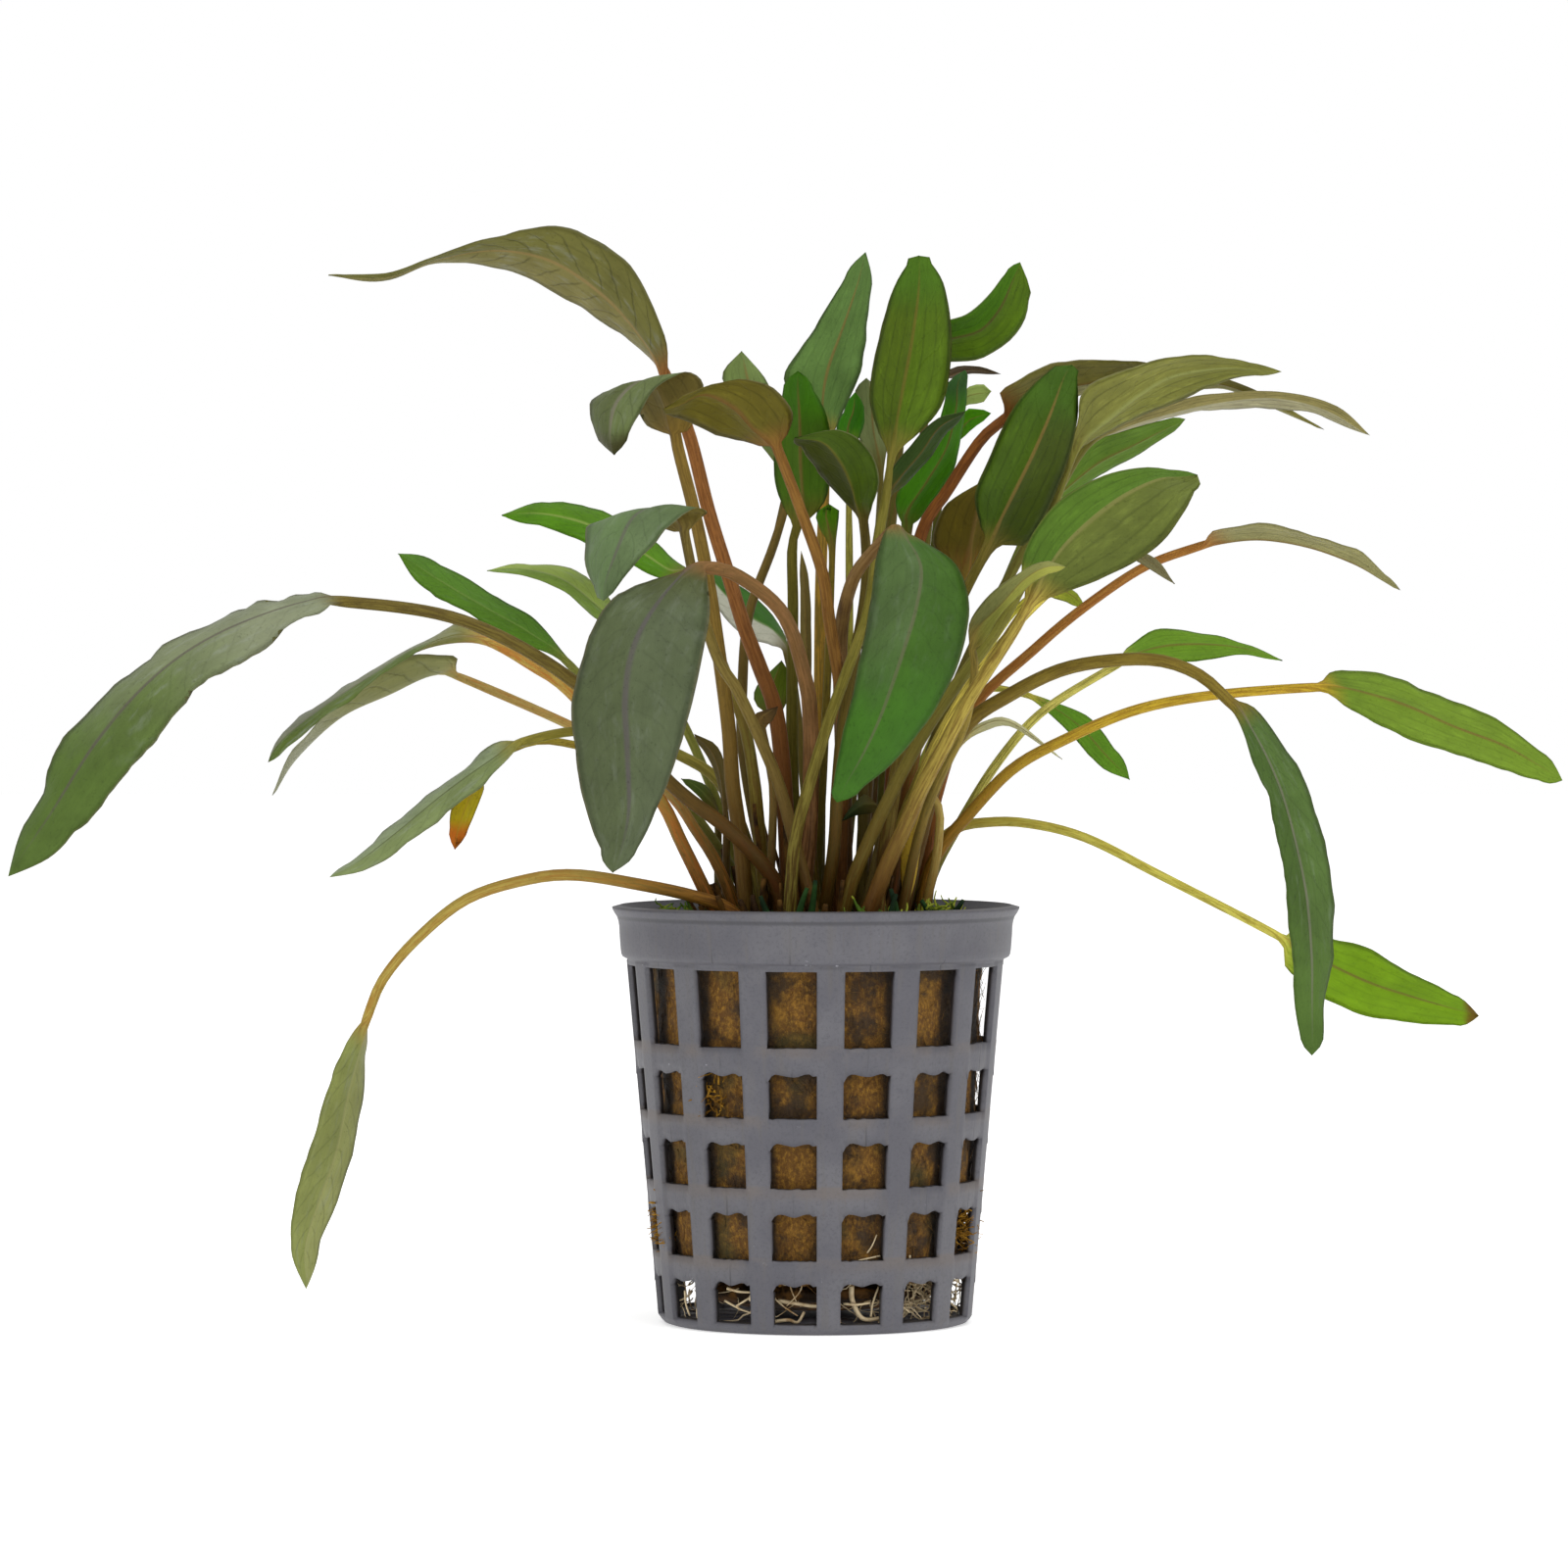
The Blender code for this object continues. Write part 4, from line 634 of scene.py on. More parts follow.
def leaf_shape(radius, stalk, blade, tip, ruffle, fullness, seed):
    """The closed mesh of one leaf, with its UV map, and its stalk's and blade's lengths."""
    middle, near, far, base = leaf_guides(radius, stalk, blade, tip)
    last = len(middle) - 1
    stalk_at, stalk_length = even_steps(middle, 0, base, STALK_PITCH)
    blade_at, blade_length = even_steps(middle, base, last, BLADE_PITCH)
    rows = [(at, step / (len(stalk_at) - 1)) for step, at in enumerate(stalk_at)]
    rows += [(at, 1 + step / (len(blade_at) - 1)) for step, at in enumerate(blade_at) if step]
    mesh, by_row = leaf_grid(rows)
    normal = None
    for (at, run), vertices in zip(rows, by_row):
        centre = along_curve(middle, at)
        left = along_curve(near, at)
        right = along_curve(far, at)
        ahead = along_curve(middle, min(at + RUN_STEP, last))
        along = (ahead - along_curve(middle, max(at - RUN_STEP, 0))).normalized()
        normal = across_to(along, left, right, normal)
        left_normal = across_to(along, left, centre, normal)
        right_normal = across_to(along, centre, right, normal)
        progress = max(0.0, run - 1)
        blade_run = progress * blade_length
        flat = gentle(blade_run, 0.0, BLADE_ROOT_LENGTH)
        rib = radius * mix(1 + FOOT_FLARE * max(0.0, 1 - at / base), RIB_END_SHARE, progress**0.8)
        # The last stretch keeps its width longer than a straight taper, up to a rounded tip
        to_tip = max(0.0, at - (last - 1))
        if 0 < to_tip < 1:
            left = centre + (left - centre) * (1 - to_tip**fullness) / (1 - to_tip)
            right = centre + (right - centre) * (1 - to_tip**fullness) / (1 - to_tip)
        for column, vertex in vertices:
            on_top = 1 if column <= ACROSS_CELLS else -1
            spread = on_top * (4 * column / AROUND_CELLS - 2) + 1
            power = math.copysign(abs(spread) ** MIDRIB_CROWDING, spread)
            share = mix(math.sin(spread * math.pi / 2), power, flat)
            aside = abs(share)
            edge, side_normal = (left, left_normal) if share < 0 else (right, right_normal)
            width = (edge - centre).length
            face_normal = mix(normal, side_normal, min(1.0, aside * 3) * flat).normalized()
            point = mix(centre, edge, aside)
            # The blade bulges a little beside the midrib, and its edge is ruffled
            point += face_normal * flat * 0.10 * width * math.sin(math.pi * aside) * (1 - aside)
            beside = math.copysign(20, share)
            wave = 2 * noise.noise(Vector((blade_run / 5.5, seed * 7.3, beside)))
            wave += noise.noise(Vector((blade_run / 2.2, seed * 3.1, beside)))
            fade = flat * gentle(1 - progress, 0.0, 0.25)
            point += face_normal * ruffle * wave * share * share * fade * min(1.0, width / 4)
            lens = mix(BLADE_HALF_THICKNESS, EDGE_HALF_THICKNESS, aside) * math.sqrt(1 - share**4)
            round_rib = rib * math.sqrt(max(0.0, 1 - (aside * width / rib) ** 2))
            on_face = mix(1.0, 0.25 if on_top == 1 else 0.8, flat)
            vertex.co = point + face_normal * on_top * max(lens * flat, round_rib * on_face)
    for _, vertex in by_row[-1]:
        vertex.co = mix(seen(tip), vertex.co, 0.5)
    bmesh.ops.remove_doubles(mesh, verts=mesh.verts, dist=WELD)
    bmesh.ops.holes_fill(mesh, edges=[edge for edge in mesh.edges if edge.is_boundary], sides=0)
    bmesh.ops.recalc_face_normals(mesh, faces=mesh.faces)
    return mesh, stalk_length, blade_length


# What a leaf looks like where nothing else is said: colours as they look on a screen
PLAIN_LOOK = {
    "top": (104, 118, 88),
    "top_far": None,
    "under": (128, 122, 70),
    "under_far": None,
    "rib": (128, 112, 112),
    "rib_width": 0.07,
    "rib_under": (120, 96, 48),
    "tip_tone": None,
    "tip_length": 0.15,
    "base_tone": None,
    "base_length": 0.35,
    "vein": 0.5,
    # A painted reflection of the white surroundings, laid in streaks on the top side, and how strongly it is
    # laid
    "sheen": (150, 156, 148),
    "streak": 0.08,
    "speckle": 0.26,
    "margin": (150, 146, 110),
    "foot": (74, 48, 12),
    "stalk_tone": (126, 104, 50),
    "stalk_stripe": (96, 84, 36),
    "gloss": 0.42,
    "glow": 0.15,
    "ruffle": 0.3,
    "fullness": 1.7,
}


def leaf_finish(name, look, stalk_length, blade_length, seed):
    """The leaf's own colours, read from its UV map: u goes round the leaf, v from foot to tip."""
    finish, paint, shader = new_finish("skin_" + name)
    spot = paint.place()
    around, run, _ = paint.parts(paint.node("ShaderNodeUVMap", {"uv_map": "leaf"}, {}))
    under = paint.math("GREATER_THAN", around, 0.5)
    across = paint.math("PINGPONG", around * 2, 1.0) * 2 - 1
    aside = abs(across) ** MIDRIB_CROWDING
    blade_run = paint.math("MAXIMUM", run - 1, 0.0) * blade_length
    stalk_run = paint.math("MINIMUM", run, 1.0)
    length_run = stalk_run * stalk_length + blade_run
    skin = paint.node("ShaderNodeCombineXYZ", {}, {0: around * 14.0, 1: length_run * 0.16, 2: seed * 3.7})
    fine_skin = paint.node("ShaderNodeCombineXYZ", {}, {0: around * 40.0, 1: length_run * 0.30, 2: seed})

    streaks = paint.noise(skin, 1.6, 4.0, 0.6)
    fine_streaks = paint.noise(fine_skin, 1.4, 3.0, 0.6)
    clouds = paint.noise(spot, 260.0, 4.0, 0.55)
    grain = paint.noise(spot, 2100.0, 3.0, 0.7)
    patches = paint.noise(spot, 85.0, 3.0, 0.55)
    # Side veins leave the midrib at a slant and bend forward to the edge
    slant = blade_run * 0.30 - (aside**1.4) * 1.9 + (clouds - 0.5) * 0.9
    veins = paint.math("PINGPONG", slant, 0.5).rise(0.10, 0.0)
    veins = veins * aside.rise(0.03, 0.2) * aside.rise(1.0, 0.7)
    # Lengthwise veins follow the outline, a few on each side of the midrib
    lines = paint.math("PINGPONG", aside * 3.3 + (clouds - 0.5) * 0.3, 0.5).rise(0.13, 0.0)
    lines = lines * aside.rise(0.06, 0.2)

    far_side = across.rise(-0.12, 0.12)
    uneven_run = run + (clouds - 0.5) * 0.12
    vein = look["vein"]
    top = paint.blend(look["top"], look["top_far"] or look["top"], far_side)
    if look["base_tone"]:
        reach = look["base_length"]
        top = top.tint(look["base_tone"], uneven_run.rise(1 + reach, 1 + reach * 0.3))
    below = paint.blend(look["under"], look["under_far"] or look["under"], far_side)
    below = below.shade(1 - lines * 0.30 * vein + fine_streaks.rise(0.5, 0.8) * 0.35 * vein)
    # Painted sheen: streaks of painted reflection of the white surroundings lighten the top side
    top = top.tint(look["sheen"], streaks.rise(0.50, 0.75) * look["streak"])
    top = top.shade(1 - veins * 0.28 * vein - lines * 0.10 * vein)
    side = top.tint(below, under)
    if look["tip_tone"]:
        reach = look["tip_length"]
        side = side.tint(look["tip_tone"], uneven_run.rise(2 - reach, 2 - reach * 0.4))
    side = side.shade(0.40 + clouds * 0.62 + fine_streaks * 0.26 + patches * 0.32)
    side = side.tint(look["margin"], aside.rise(0.93, 0.995) * 0.5)
    rib_edge = look["rib_width"]
    rib_mask = aside.rise(rib_edge * 1.3, rib_edge * 0.3) * run.rise(2.02, 1.75)
    side = side.tint(paint.blend(look["rib"], look["rib_under"], under), rib_mask * (0.45 + streaks * 0.5))

    stalk = paint.blend(look["foot"], look["stalk_tone"], stalk_run.rise(0.0, 0.7))
    stalk = stalk.tint(look["stalk_stripe"], streaks.rise(0.42, 0.60) * 0.7)
    whole = stalk.shade(0.62 + fine_streaks * 0.8).tint(side, blade_run.rise(0.0, BLADE_ROOT_LENGTH))
    whole = whole.shade(1 - grain.rise(0.56, 0.72) * look["speckle"])
    height = fine_streaks * 0.30 + streaks * 0.25 - veins * 0.40 * vein + grain * 0.14 - lines * 0.12
    coat(shader, whole, look["gloss"] + grain * 0.16 - veins * 0.05, height, 0.55, 0.00022)
    shader["Specular IOR Level"].default_value = DULL_SHINE

    # A little light comes through the thin blade, in its own colour. The bright greens of leaves lit from
    # behind are also partly painted light shining through them.
    body = Field(paint.tree, finish.node_tree.nodes["Principled BSDF"].outputs[0])
    through = paint.node("ShaderNodeBsdfTranslucent", {}, {"Color": look["top"]})
    mixed = paint.node("ShaderNodeMixShader", {}, {0: look["glow"], 1: body, 2: through})
    feed(mixed, finish.node_tree.nodes["Material Output"].inputs["Surface"])
    return finish


leaf_numbers = itertools.count(1)


def leaf(name, slot, radius, stalk, blade, tip, **changes):
    """One leaf in place of its solid, from the solid's own numbers, in millimetres.

    A stalk is its foot's (across, depth), and then measured points. Each section of a blade is three
    measured points: one edge, the midrib and the other edge. The changes are to PLAIN_LOOK.
    """
    number = next(leaf_numbers)
    look = {**PLAIN_LOOK, **changes}
    edge = (look["ruffle"], look["fullness"])
    mesh, stalk_length, blade_length = leaf_shape(radius, stalk, blade, tip, *edge, number)
    finish = leaf_finish(name, look, stalk_length, blade_length, number)
    place_piece(mesh, name + "_leaf", finish, ["leaf_" + name])


# Leaves of the left side
# They arch outward from the crown's left half. The two lowest lean out over the rim, the broad front
# one bends over toward the viewer, and two are dying back.

leaf("far_left_large", "grey_green", 0.71,
     [(-3.4, -8.6), (-5.2, 54.4, -9.6), (-10.7, 60.5, -11.5), (-17.8, 66.1, -12.2), (-29, 78.1, -12),
      (-43, 86, -11.2), (-57.5, 88.4, -9)],
     [(-62.3, 89.5, -6, -63, 88.2, -9, -61, 86.9, -11), (-71.5, 87.2, -4, -73, 84.5, -9, -70.7, 81.2, -14),
      (-82, 81.5, -3, -80.8, 79.3, -8, -77.3, 75.9, -13.5),
      (-90.8, 73.4, -3, -87.8, 71.6, -7.5, -83.4, 68.3, -12.5),
      (-95.8, 63.2, -4, -94, 62, -7, -91, 60, -10)],
     (-99.1, 54.7, -7), top=(112, 121, 86), top_far=(92, 108, 58), base_tone=(126, 132, 104),
     base_length=0.55, tip_tone=(80, 102, 42), tip_length=0.6, rib=(88, 80, 74), rib_width=0.05,
     under=(104, 104, 58), streak=0.35, foot=(76, 39, 11), stalk_tone=(108, 94, 38),
     stalk_stripe=(74, 58, 22), ruffle=0.5, vein=0.35)
leaf("left_arch_upper", "grey_green", 0.62,
     [(-11.2, -6.4), (-16.2, 58.3, -7.2), (-20, 65.5, -7), (-29.8, 77, -6), (-35, 80.7, -5.5),
      (-39.5, 83.3, -5)],
     [(-42.9, 86.3, -2, -43.5, 83.8, -5, -43.9, 84.6, -8),
      (-47.8, 83.8, -1.5, -48.9, 82.6, -5, -49.8, 82, -8),
      (-54.6, 80.1, -1, -55, 78.9, -5, -55.4, 77.5, -8), (-60.7, 75.8, 0, -61.3, 74.7, -5, -61.8, 73.1, -8),
      (-65.1, 72.7, -2, -65.4, 71.3, -5, -65, 70.4, -6)],
     (-67.2, 68.7, -5), top=(134, 138, 114), top_far=(96, 114, 52), base_tone=(128, 128, 72),
     base_length=0.3, rib=(118, 112, 96), rib_width=0.05, under=(118, 118, 60), streak=0.4,
     foot=(95, 59, 13), stalk_tone=(176, 148, 70), stalk_stripe=(168, 96, 34))
leaf("left_arch_lower", "olive", 0.53,
     [(-8.8, -3.4), (-12, 56, -3.6), (-14.8, 60.5, -3.4), (-17.8, 64.7, -1.8), (-24, 69.8, 1.5),
      (-30, 73.2, 5), (-43, 78.9, 9)],
     [(-44.3, 81.6, 5, -47, 79.5, 9.5, -46.5, 80.5, 13.5),
      (-51, 81.4, 4.5, -52.2, 77.2, 10, -51.7, 79.6, 15),
      (-57.7, 76.6, 6.5, -58.5, 74.2, 10.5, -58, 75.6, 14.5), (-63.7, 71, 8, -64, 69, 11, -63.6, 70, 13)],
     (-66.7, 64.6, 10), top=(126, 128, 76), top_far=(134, 137, 82), tip_tone=(150, 152, 124),
     tip_length=0.5, rib=(146, 142, 92), under=(128, 128, 74), foot=(96, 64, 16), stalk_tone=(168, 150, 84),
     stalk_stripe=(164, 104, 42), vein=1)
leaf("left_low_folded", "grey_green", 0.56,
     [(-6, 1), (-8.5, 59, 1), (-11.8, 66.2, 1), (-16.7, 69.6, 1), (-24, 72.4, -0.6), (-30, 72.5, -4),
      (-36, 71.2, -8.5)],
     [(-39.6, 70.9, -8, -39, 69.4, -10, -38.4, 68.4, -12), (-46, 66.1, -6, -45.2, 65, -10, -43.5, 64, -13),
      (-52.3, 60.6, -6, -51.3, 60, -10, -49.4, 59.2, -13),
      (-57, 56.7, -8, -56.2, 56.3, -10, -54.5, 55.9, -12)],
     (-59.7, 54.6, -10), top=(132, 145, 108), top_far=(122, 136, 86), rib=(82, 90, 48), rib_width=0.05,
     under=(120, 124, 72), foot=(84, 60, 14), stalk_tone=(132, 124, 48), stalk_stripe=(152, 142, 62),
     streak=0.35)
leaf("back_left_high", "bright_green", 0.53,
     [(-6.3, 5.6), (-11.8, 58, 6.2), (-19.8, 68.5, 11.5), (-30, 80.5, 20)],
     [(-34.3, 86, 25, -35, 84.4, 23, -36.2, 83.4, 21), (-40, 89.5, 29, -40.8, 87.7, 26.5, -41.5, 86.3, 24),
      (-46, 93, 31, -46.6, 91.2, 29.5, -47.3, 89.6, 27)],
     (-51.2, 94.3, 32), top=(84, 125, 36), top_far=(80, 120, 24), rib=(112, 140, 62), under=(94, 124, 46),
     foot=(89, 71, 16), stalk_tone=(125, 127, 55), stalk_stripe=(96, 98, 36), margin=(118, 146, 68),
     glow=0.25)
leaf("back_left_top", "bright_green", 0.62,
     [(-5.9, -2.7), (-7.1, 61.7, -2.4), (-7.7, 67.3, 0), (-9.1, 74.3, 4), (-13.2, 85.3, 11),
      (-15.2, 91.3, 15)],
     [(-17, 93.4, 19, -18.1, 92.2, 17, -19.2, 91.4, 15), (-21.2, 96.8, 22, -22.4, 95, 20, -24, 93.6, 18),
      (-27.2, 100, 25, -27.9, 97.7, 22, -29, 95.9, 20), (-32.6, 100.6, 26, -33.2, 99, 24, -33.8, 97.7, 22)],
     (-38.5, 99, 25), top=(88, 134, 22), top_far=(84, 135, 12), rib=(146, 166, 82), rib_width=0.08,
     under=(100, 134, 48), foot=(93, 66, 15), stalk_tone=(116, 96, 36), stalk_stripe=(130, 120, 50),
     margin=(120, 150, 60), glow=0.25)
leaf("back_left_middle", "bright_green", 0.5,
     [(-8.2, 8.6), (-10.8, 60, 10.4), (-16, 73, 15.5), (-22.5, 84, 21)],
     [(-25.8, 89.4, 25, -26.6, 87.6, 23, -26.9, 86.2, 21), (-30, 92.3, 29, -31, 91, 26.5, -30.8, 89.6, 25),
      (-35.5, 93.1, 31, -35.8, 92.3, 29.5, -36, 91.7, 28)],
     (-40.3, 92.2, 31), top=(158, 178, 88), top_far=(126, 152, 68), rib=(160, 170, 110),
     under=(150, 170, 84), foot=(86, 69, 16), stalk_tone=(132, 132, 58), stalk_stripe=(100, 96, 38),
     streak=0.4, glow=0.25)
leaf("front_left_upper", "grey_green", 0.59,
     [(0.2, -10.2), (-2.9, 60.1, -10.4), (-5, 67.3, -11.2), (-9.6, 77.5, -13.4), (-11.9, 81.1, -14.2),
      (-14.2, 88, -15), (-16, 96.3, -17.5)],
     [(-17.6, 97, -17, -16.3, 98, -18.5, -14.6, 98.2, -19.5),
      (-20.5, 97.7, -15, -17.7, 99.5, -18.5, -13.2, 99.5, -20),
      (-25, 98.2, -15, -20.5, 99.7, -20, -15, 100.1, -22.5),
      (-28.1, 97.7, -17, -22.6, 98.2, -23.5, -18.2, 97.4, -26),
      (-28.1, 93.5, -20, -24.2, 94.7, -26.5, -21.2, 94.1, -28),
      (-27.1, 89.9, -24, -25.7, 90.6, -27, -24.1, 90.7, -28)],
     (-26, 88.5, -26.5), top=(92, 114, 70), top_far=(90, 108, 70), base_tone=(120, 116, 58),
     base_length=0.22, rib=(92, 88, 80), rib_width=0.05, under=(118, 106, 50), foot=(81, 49, 13),
     stalk_tone=(130, 113, 55), stalk_stripe=(94, 76, 32), streak=0.12)
leaf("front_left_large", "grey_green", 0.78,
     [(-2.3, -5), (-1, 58, -7), (-0.6, 67.3, -9), (-0.7, 74.3, -12), (-1.3, 78.9, -15), (-4, 86.9, -22),
      (-9.6, 91.6, -28), (-13.6, 92.6, -30)],
     [(-18.2, 91.6, -32, -16.2, 91.8, -32, -13.3, 91.2, -33),
      (-24, 89.4, -34, -20.2, 87, -36, -13, 87.4, -36),
      (-27.8, 83.9, -36, -22.5, 82.3, -39, -13.7, 82.8, -38),
      (-29.7, 76.6, -38, -23.4, 76.6, -41, -14.9, 77.2, -39),
      (-29.6, 69.7, -39, -23.1, 70.3, -42, -16.7, 70.2, -40),
      (-27.8, 61.3, -40, -22.9, 63.1, -42, -19.2, 63.5, -40),
      (-26.3, 57.9, -40, -23.8, 58.3, -41, -22, 58, -40)],
     (-24.9, 55.2, -40), top=(78, 88, 58), top_far=(82, 92, 64), base_tone=(68, 74, 38), base_length=0.28,
     rib=(84, 78, 78), rib_width=0.06, under=(100, 94, 44), foot=(79, 44, 13), stalk_tone=(114, 84, 46),
     stalk_stripe=(140, 100, 60), streak=0.12, vein=0.35, ruffle=0.35)
leaf("low_left_hanging", "sage", 0.59,
     [(-8, -9.5), (-10.8, 50.8, -9.8), (-15.4, 52.4, -10), (-21.5, 53.7, -10), (-29.4, 54.9, -9),
      (-35.6, 54.3, -8), (-42.9, 51.9, -7), (-49, 47, -6), (-53.1, 42.1, -5.5), (-55, 37.6, -5)],
     [(-57.5, 34.6, -7, -56, 33.6, -5, -55.2, 34, -2), (-60, 28.5, -8, -57.6, 27.8, -4.5, -55.5, 27.8, -2),
      (-62, 21.5, -8, -59, 21, -4, -56.6, 22, -2), (-64, 15, -7, -61.2, 14.6, -4, -58.7, 15, -2),
      (-64.4, 9.5, -5, -62.8, 9, -4, -60.9, 9.7, -3)],
     (-62.6, 4, -4), top=(138, 145, 82), top_far=(147, 151, 93), under=(140, 146, 84),
     under_far=(148, 152, 94), rib=(158, 158, 104), rib_under=(158, 158, 104), foot=(101, 57, 12),
     stalk_tone=(184, 162, 80), stalk_stripe=(160, 112, 44), vein=0.8, streak=0.25, margin=(112, 118, 60),
     glow=0.25)
leaf("left_yellow", "yellow", 0.42,
     [(-8.2, 3.4), (-13, 58, 4), (-21, 67.5, 7), (-32, 71.3, 10), (-38, 70, 11), (-40.8, 67.6, 11)],
     [(-44.4, 64, 12, -42.5, 64, 11, -40.8, 65, 10),
      (-44.9, 60.6, 11.5, -43.8, 60.4, 11, -42.6, 60.6, 10.5)],
     (-44.3, 58, 10.5), top=(164, 146, 8), top_far=(172, 156, 20), under=(164, 146, 10), rib=(160, 132, 40),
     rib_under=(160, 132, 40), foot=(91, 69, 15), stalk_tone=(152, 140, 48), stalk_stripe=(128, 98, 32),
     speckle=0.5, tip_tone=(178, 96, 22), tip_length=0.4, margin=(130, 84, 24), glow=0.25)
leaf("left_small_dark", "olive", 0.42,
     [(-11, -1), (-11, 56, -1.1), (-11, 61.6, -1.2)],
     [(-12.2, 66.8, -0.6, -11.6, 67, -1.4, -11, 67.3, -2.2),
      (-13.7, 70, -1, -12.8, 70.2, -1.8, -11.9, 70.4, -2.4)],
     (-14.9, 72.2, -2), top=(96, 86, 44), under=(88, 76, 32), rib=(104, 84, 36), foot=(67, 42, 10),
     stalk_tone=(80, 56, 20))
leaf("left_small_green", "green", 0.42,
     [(-11.9, 8.9), (-12, 56, 9), (-12.1, 62, 9.2)],
     [(-13, 65.5, 10.4, -13.5, 64.5, 9.6, -13.9, 64, 9.2),
      (-14.6, 66.4, 11, -15, 65.9, 10.4, -15.3, 65.4, 9.8)],
     (-16.5, 66.7, 11), top=(72, 92, 20), under=(78, 94, 24), rib=(100, 116, 44), foot=(72, 54, 11),
     stalk_tone=(92, 76, 24), glow=0.25)

# Leaves that stand up behind and in the middle
# The long ones carry their blades well above the rest. The short ones between them are young, bright green
# partly from painted light shining through them from behind, and several show only a stalk and a tip.

leaf("long_upper_left", "olive", 0.78,
     [(-3.2, -1), (-3.5, 58, -2), (-4.1, 68.4, -3), (-5, 75.2, -2.8), (-6.8, 80.2, -1.5), (-8.9, 85.7, 0.5),
      (-10.7, 91.6, 3), (-13.1, 99.4, 6), (-15.5, 108.8, 9), (-18.2, 115.6, 10.5)],
     [(-18.6, 121, 8, -20.3, 119.4, 11, -21, 118.9, 13.5),
      (-23.3, 130.2, 7, -25.2, 125.3, 11.5, -26.4, 122.7, 15),
      (-31.3, 134.3, 7, -32, 130.1, 12, -32, 126.4, 15.5),
      (-38.5, 133.3, 9, -39, 131.6, 12.5, -38.5, 129.1, 15.5),
      (-46, 131.1, 11.5, -46, 130.5, 13, -46.3, 129.9, 14.5),
      (-52.5, 128.7, 13, -52.7, 128.2, 13.5, -52.8, 127.7, 14)],
     (-59.7, 128.4, 15), top=(106, 104, 50), top_far=(122, 116, 66), under=(129, 122, 71),
     under_far=(152, 144, 98), rib=(146, 122, 74), rib_under=(146, 116, 66), rib_width=0.06,
     foot=(83, 47, 12), stalk_tone=(142, 92, 44), stalk_stripe=(104, 62, 24), vein=1.2, streak=0.3,
     ruffle=0.2)
leaf("folded_upper_left", "olive", 0.71,
     [(-8.3, -5.8), (-9.2, 58.7, -6.5), (-10.2, 66, -7), (-10.7, 73, -7.5), (-11.9, 82.2, -7.5),
      (-13.2, 91, -6.5), (-14.9, 99.4, -5), (-16.7, 106.4, -4.5), (-17.2, 108.9, -4.5)],
     [(-18.4, 109, -3, -17.7, 110.2, -4.5, -15.2, 109.8, -5.5),
      (-20.3, 110, -1.5, -18.5, 112.8, -5, -13.7, 114.6, -5),
      (-22.5, 112, -1.5, -19.9, 115.3, -6.5, -15.5, 116.5, -6),
      (-25.5, 114, -4, -22, 115, -10, -18.8, 115.3, -9.5),
      (-27.8, 112.6, -8, -24.4, 112.5, -13, -21.1, 112.3, -13.5),
      (-27, 109.2, -11, -25.1, 109, -15, -22.9, 109.2, -15)],
     (-24.7, 106.4, -14), top=(84, 93, 54), top_far=(92, 104, 60), base_tone=(98, 88, 38), base_length=0.4,
     rib=(116, 110, 96), under=(104, 92, 42), rib_under=(124, 108, 58), foot=(83, 55, 14),
     stalk_tone=(134, 108, 46), stalk_stripe=(104, 82, 34), tip_tone=(68, 68, 36), streak=0.15, vein=0.8)
leaf("brown_upper", "brown", 0.65,
     [(2.8, -4.8), (3.1, 60, -5.6), (3.3, 72.1, -6.9), (3, 77.9, -7.5), (1.7, 85.9, -9.6), (0.8, 92, -10.4),
      (-1.8, 99.5, -11), (-4.6, 106.9, -11.5)],
     [(-6.8, 107.4, -10, -5.6, 108.1, -12, -3.5, 108.8, -13.5),
      (-9.9, 108.3, -9, -7.8, 109.9, -13, -2.9, 111.5, -16),
      (-13.2, 109.5, -11, -10.1, 112.3, -15, -5.4, 114.9, -18),
      (-16.5, 110.6, -14, -13.7, 113.9, -16.5, -10.5, 115.9, -19),
      (-18, 111.3, -16.5, -17.1, 112.4, -17.5, -15.2, 114.1, -18.5)],
     (-18.7, 112, -18), top=(98, 90, 28), top_far=(94, 84, 37), under=(98, 90, 28), rib=(118, 84, 44),
     rib_under=(118, 84, 44), foot=(83, 45, 12), stalk_tone=(144, 104, 46), stalk_stripe=(108, 70, 30),
     margin=(150, 142, 104), vein=0.8)
leaf("behind_brown", "grey_green", 0.53,
     [(-4.6, 4), (-6.8, 58, 6), (-8.9, 70, 9), (-9, 78, 11), (-8.2, 86.9, 13), (-5, 95.9, 15),
      (-3.3, 103, 17)],
     [(-8.6, 110, 19, -6.4, 109.5, 18, -3.8, 109, 19), (-11.2, 115, 20, -8.2, 115.2, 19, -5.6, 114.2, 20)],
     (-9.1, 119.1, 21), top=(106, 124, 70), top_far=(106, 128, 66), under=(108, 126, 68),
     rib=(126, 140, 88), foot=(77, 57, 14), stalk_tone=(106, 84, 36))
leaf("centre_bright", "bright_green", 0.59,
     [(-2.1, 2), (-2.6, 60, 1.5), (-2.9, 69.5, 0.5), (-2.9, 78.8, 0), (-2.8, 88, 0), (-2.9, 94.8, 0),
      (-2.3, 97.6, 0)],
     [(-4.1, 100.3, 1, -1.7, 100.6, -0.5, 1.3, 101, 1), (-5.3, 104.7, 1, -1.9, 105.7, -1, 1.9, 106.6, 1),
      (-4.6, 110.5, 0, -2, 110.7, -2, 1.2, 111.5, 0), (-4, 114.4, -1, -2.2, 114.3, -2.5, -0.4, 114.6, -1)],
     (-2.2, 116.7, -2.5), top=(78, 118, 0), top_far=(56, 122, 0), rib=(56, 74, 18), base_tone=(66, 84, 14),
     under=(70, 104, 16), foot=(89, 71, 14), stalk_tone=(98, 90, 28), stalk_stripe=(118, 108, 40),
     tip_tone=(66, 118, 14), tip_length=0.45, margin=(96, 128, 40), glow=0.3)
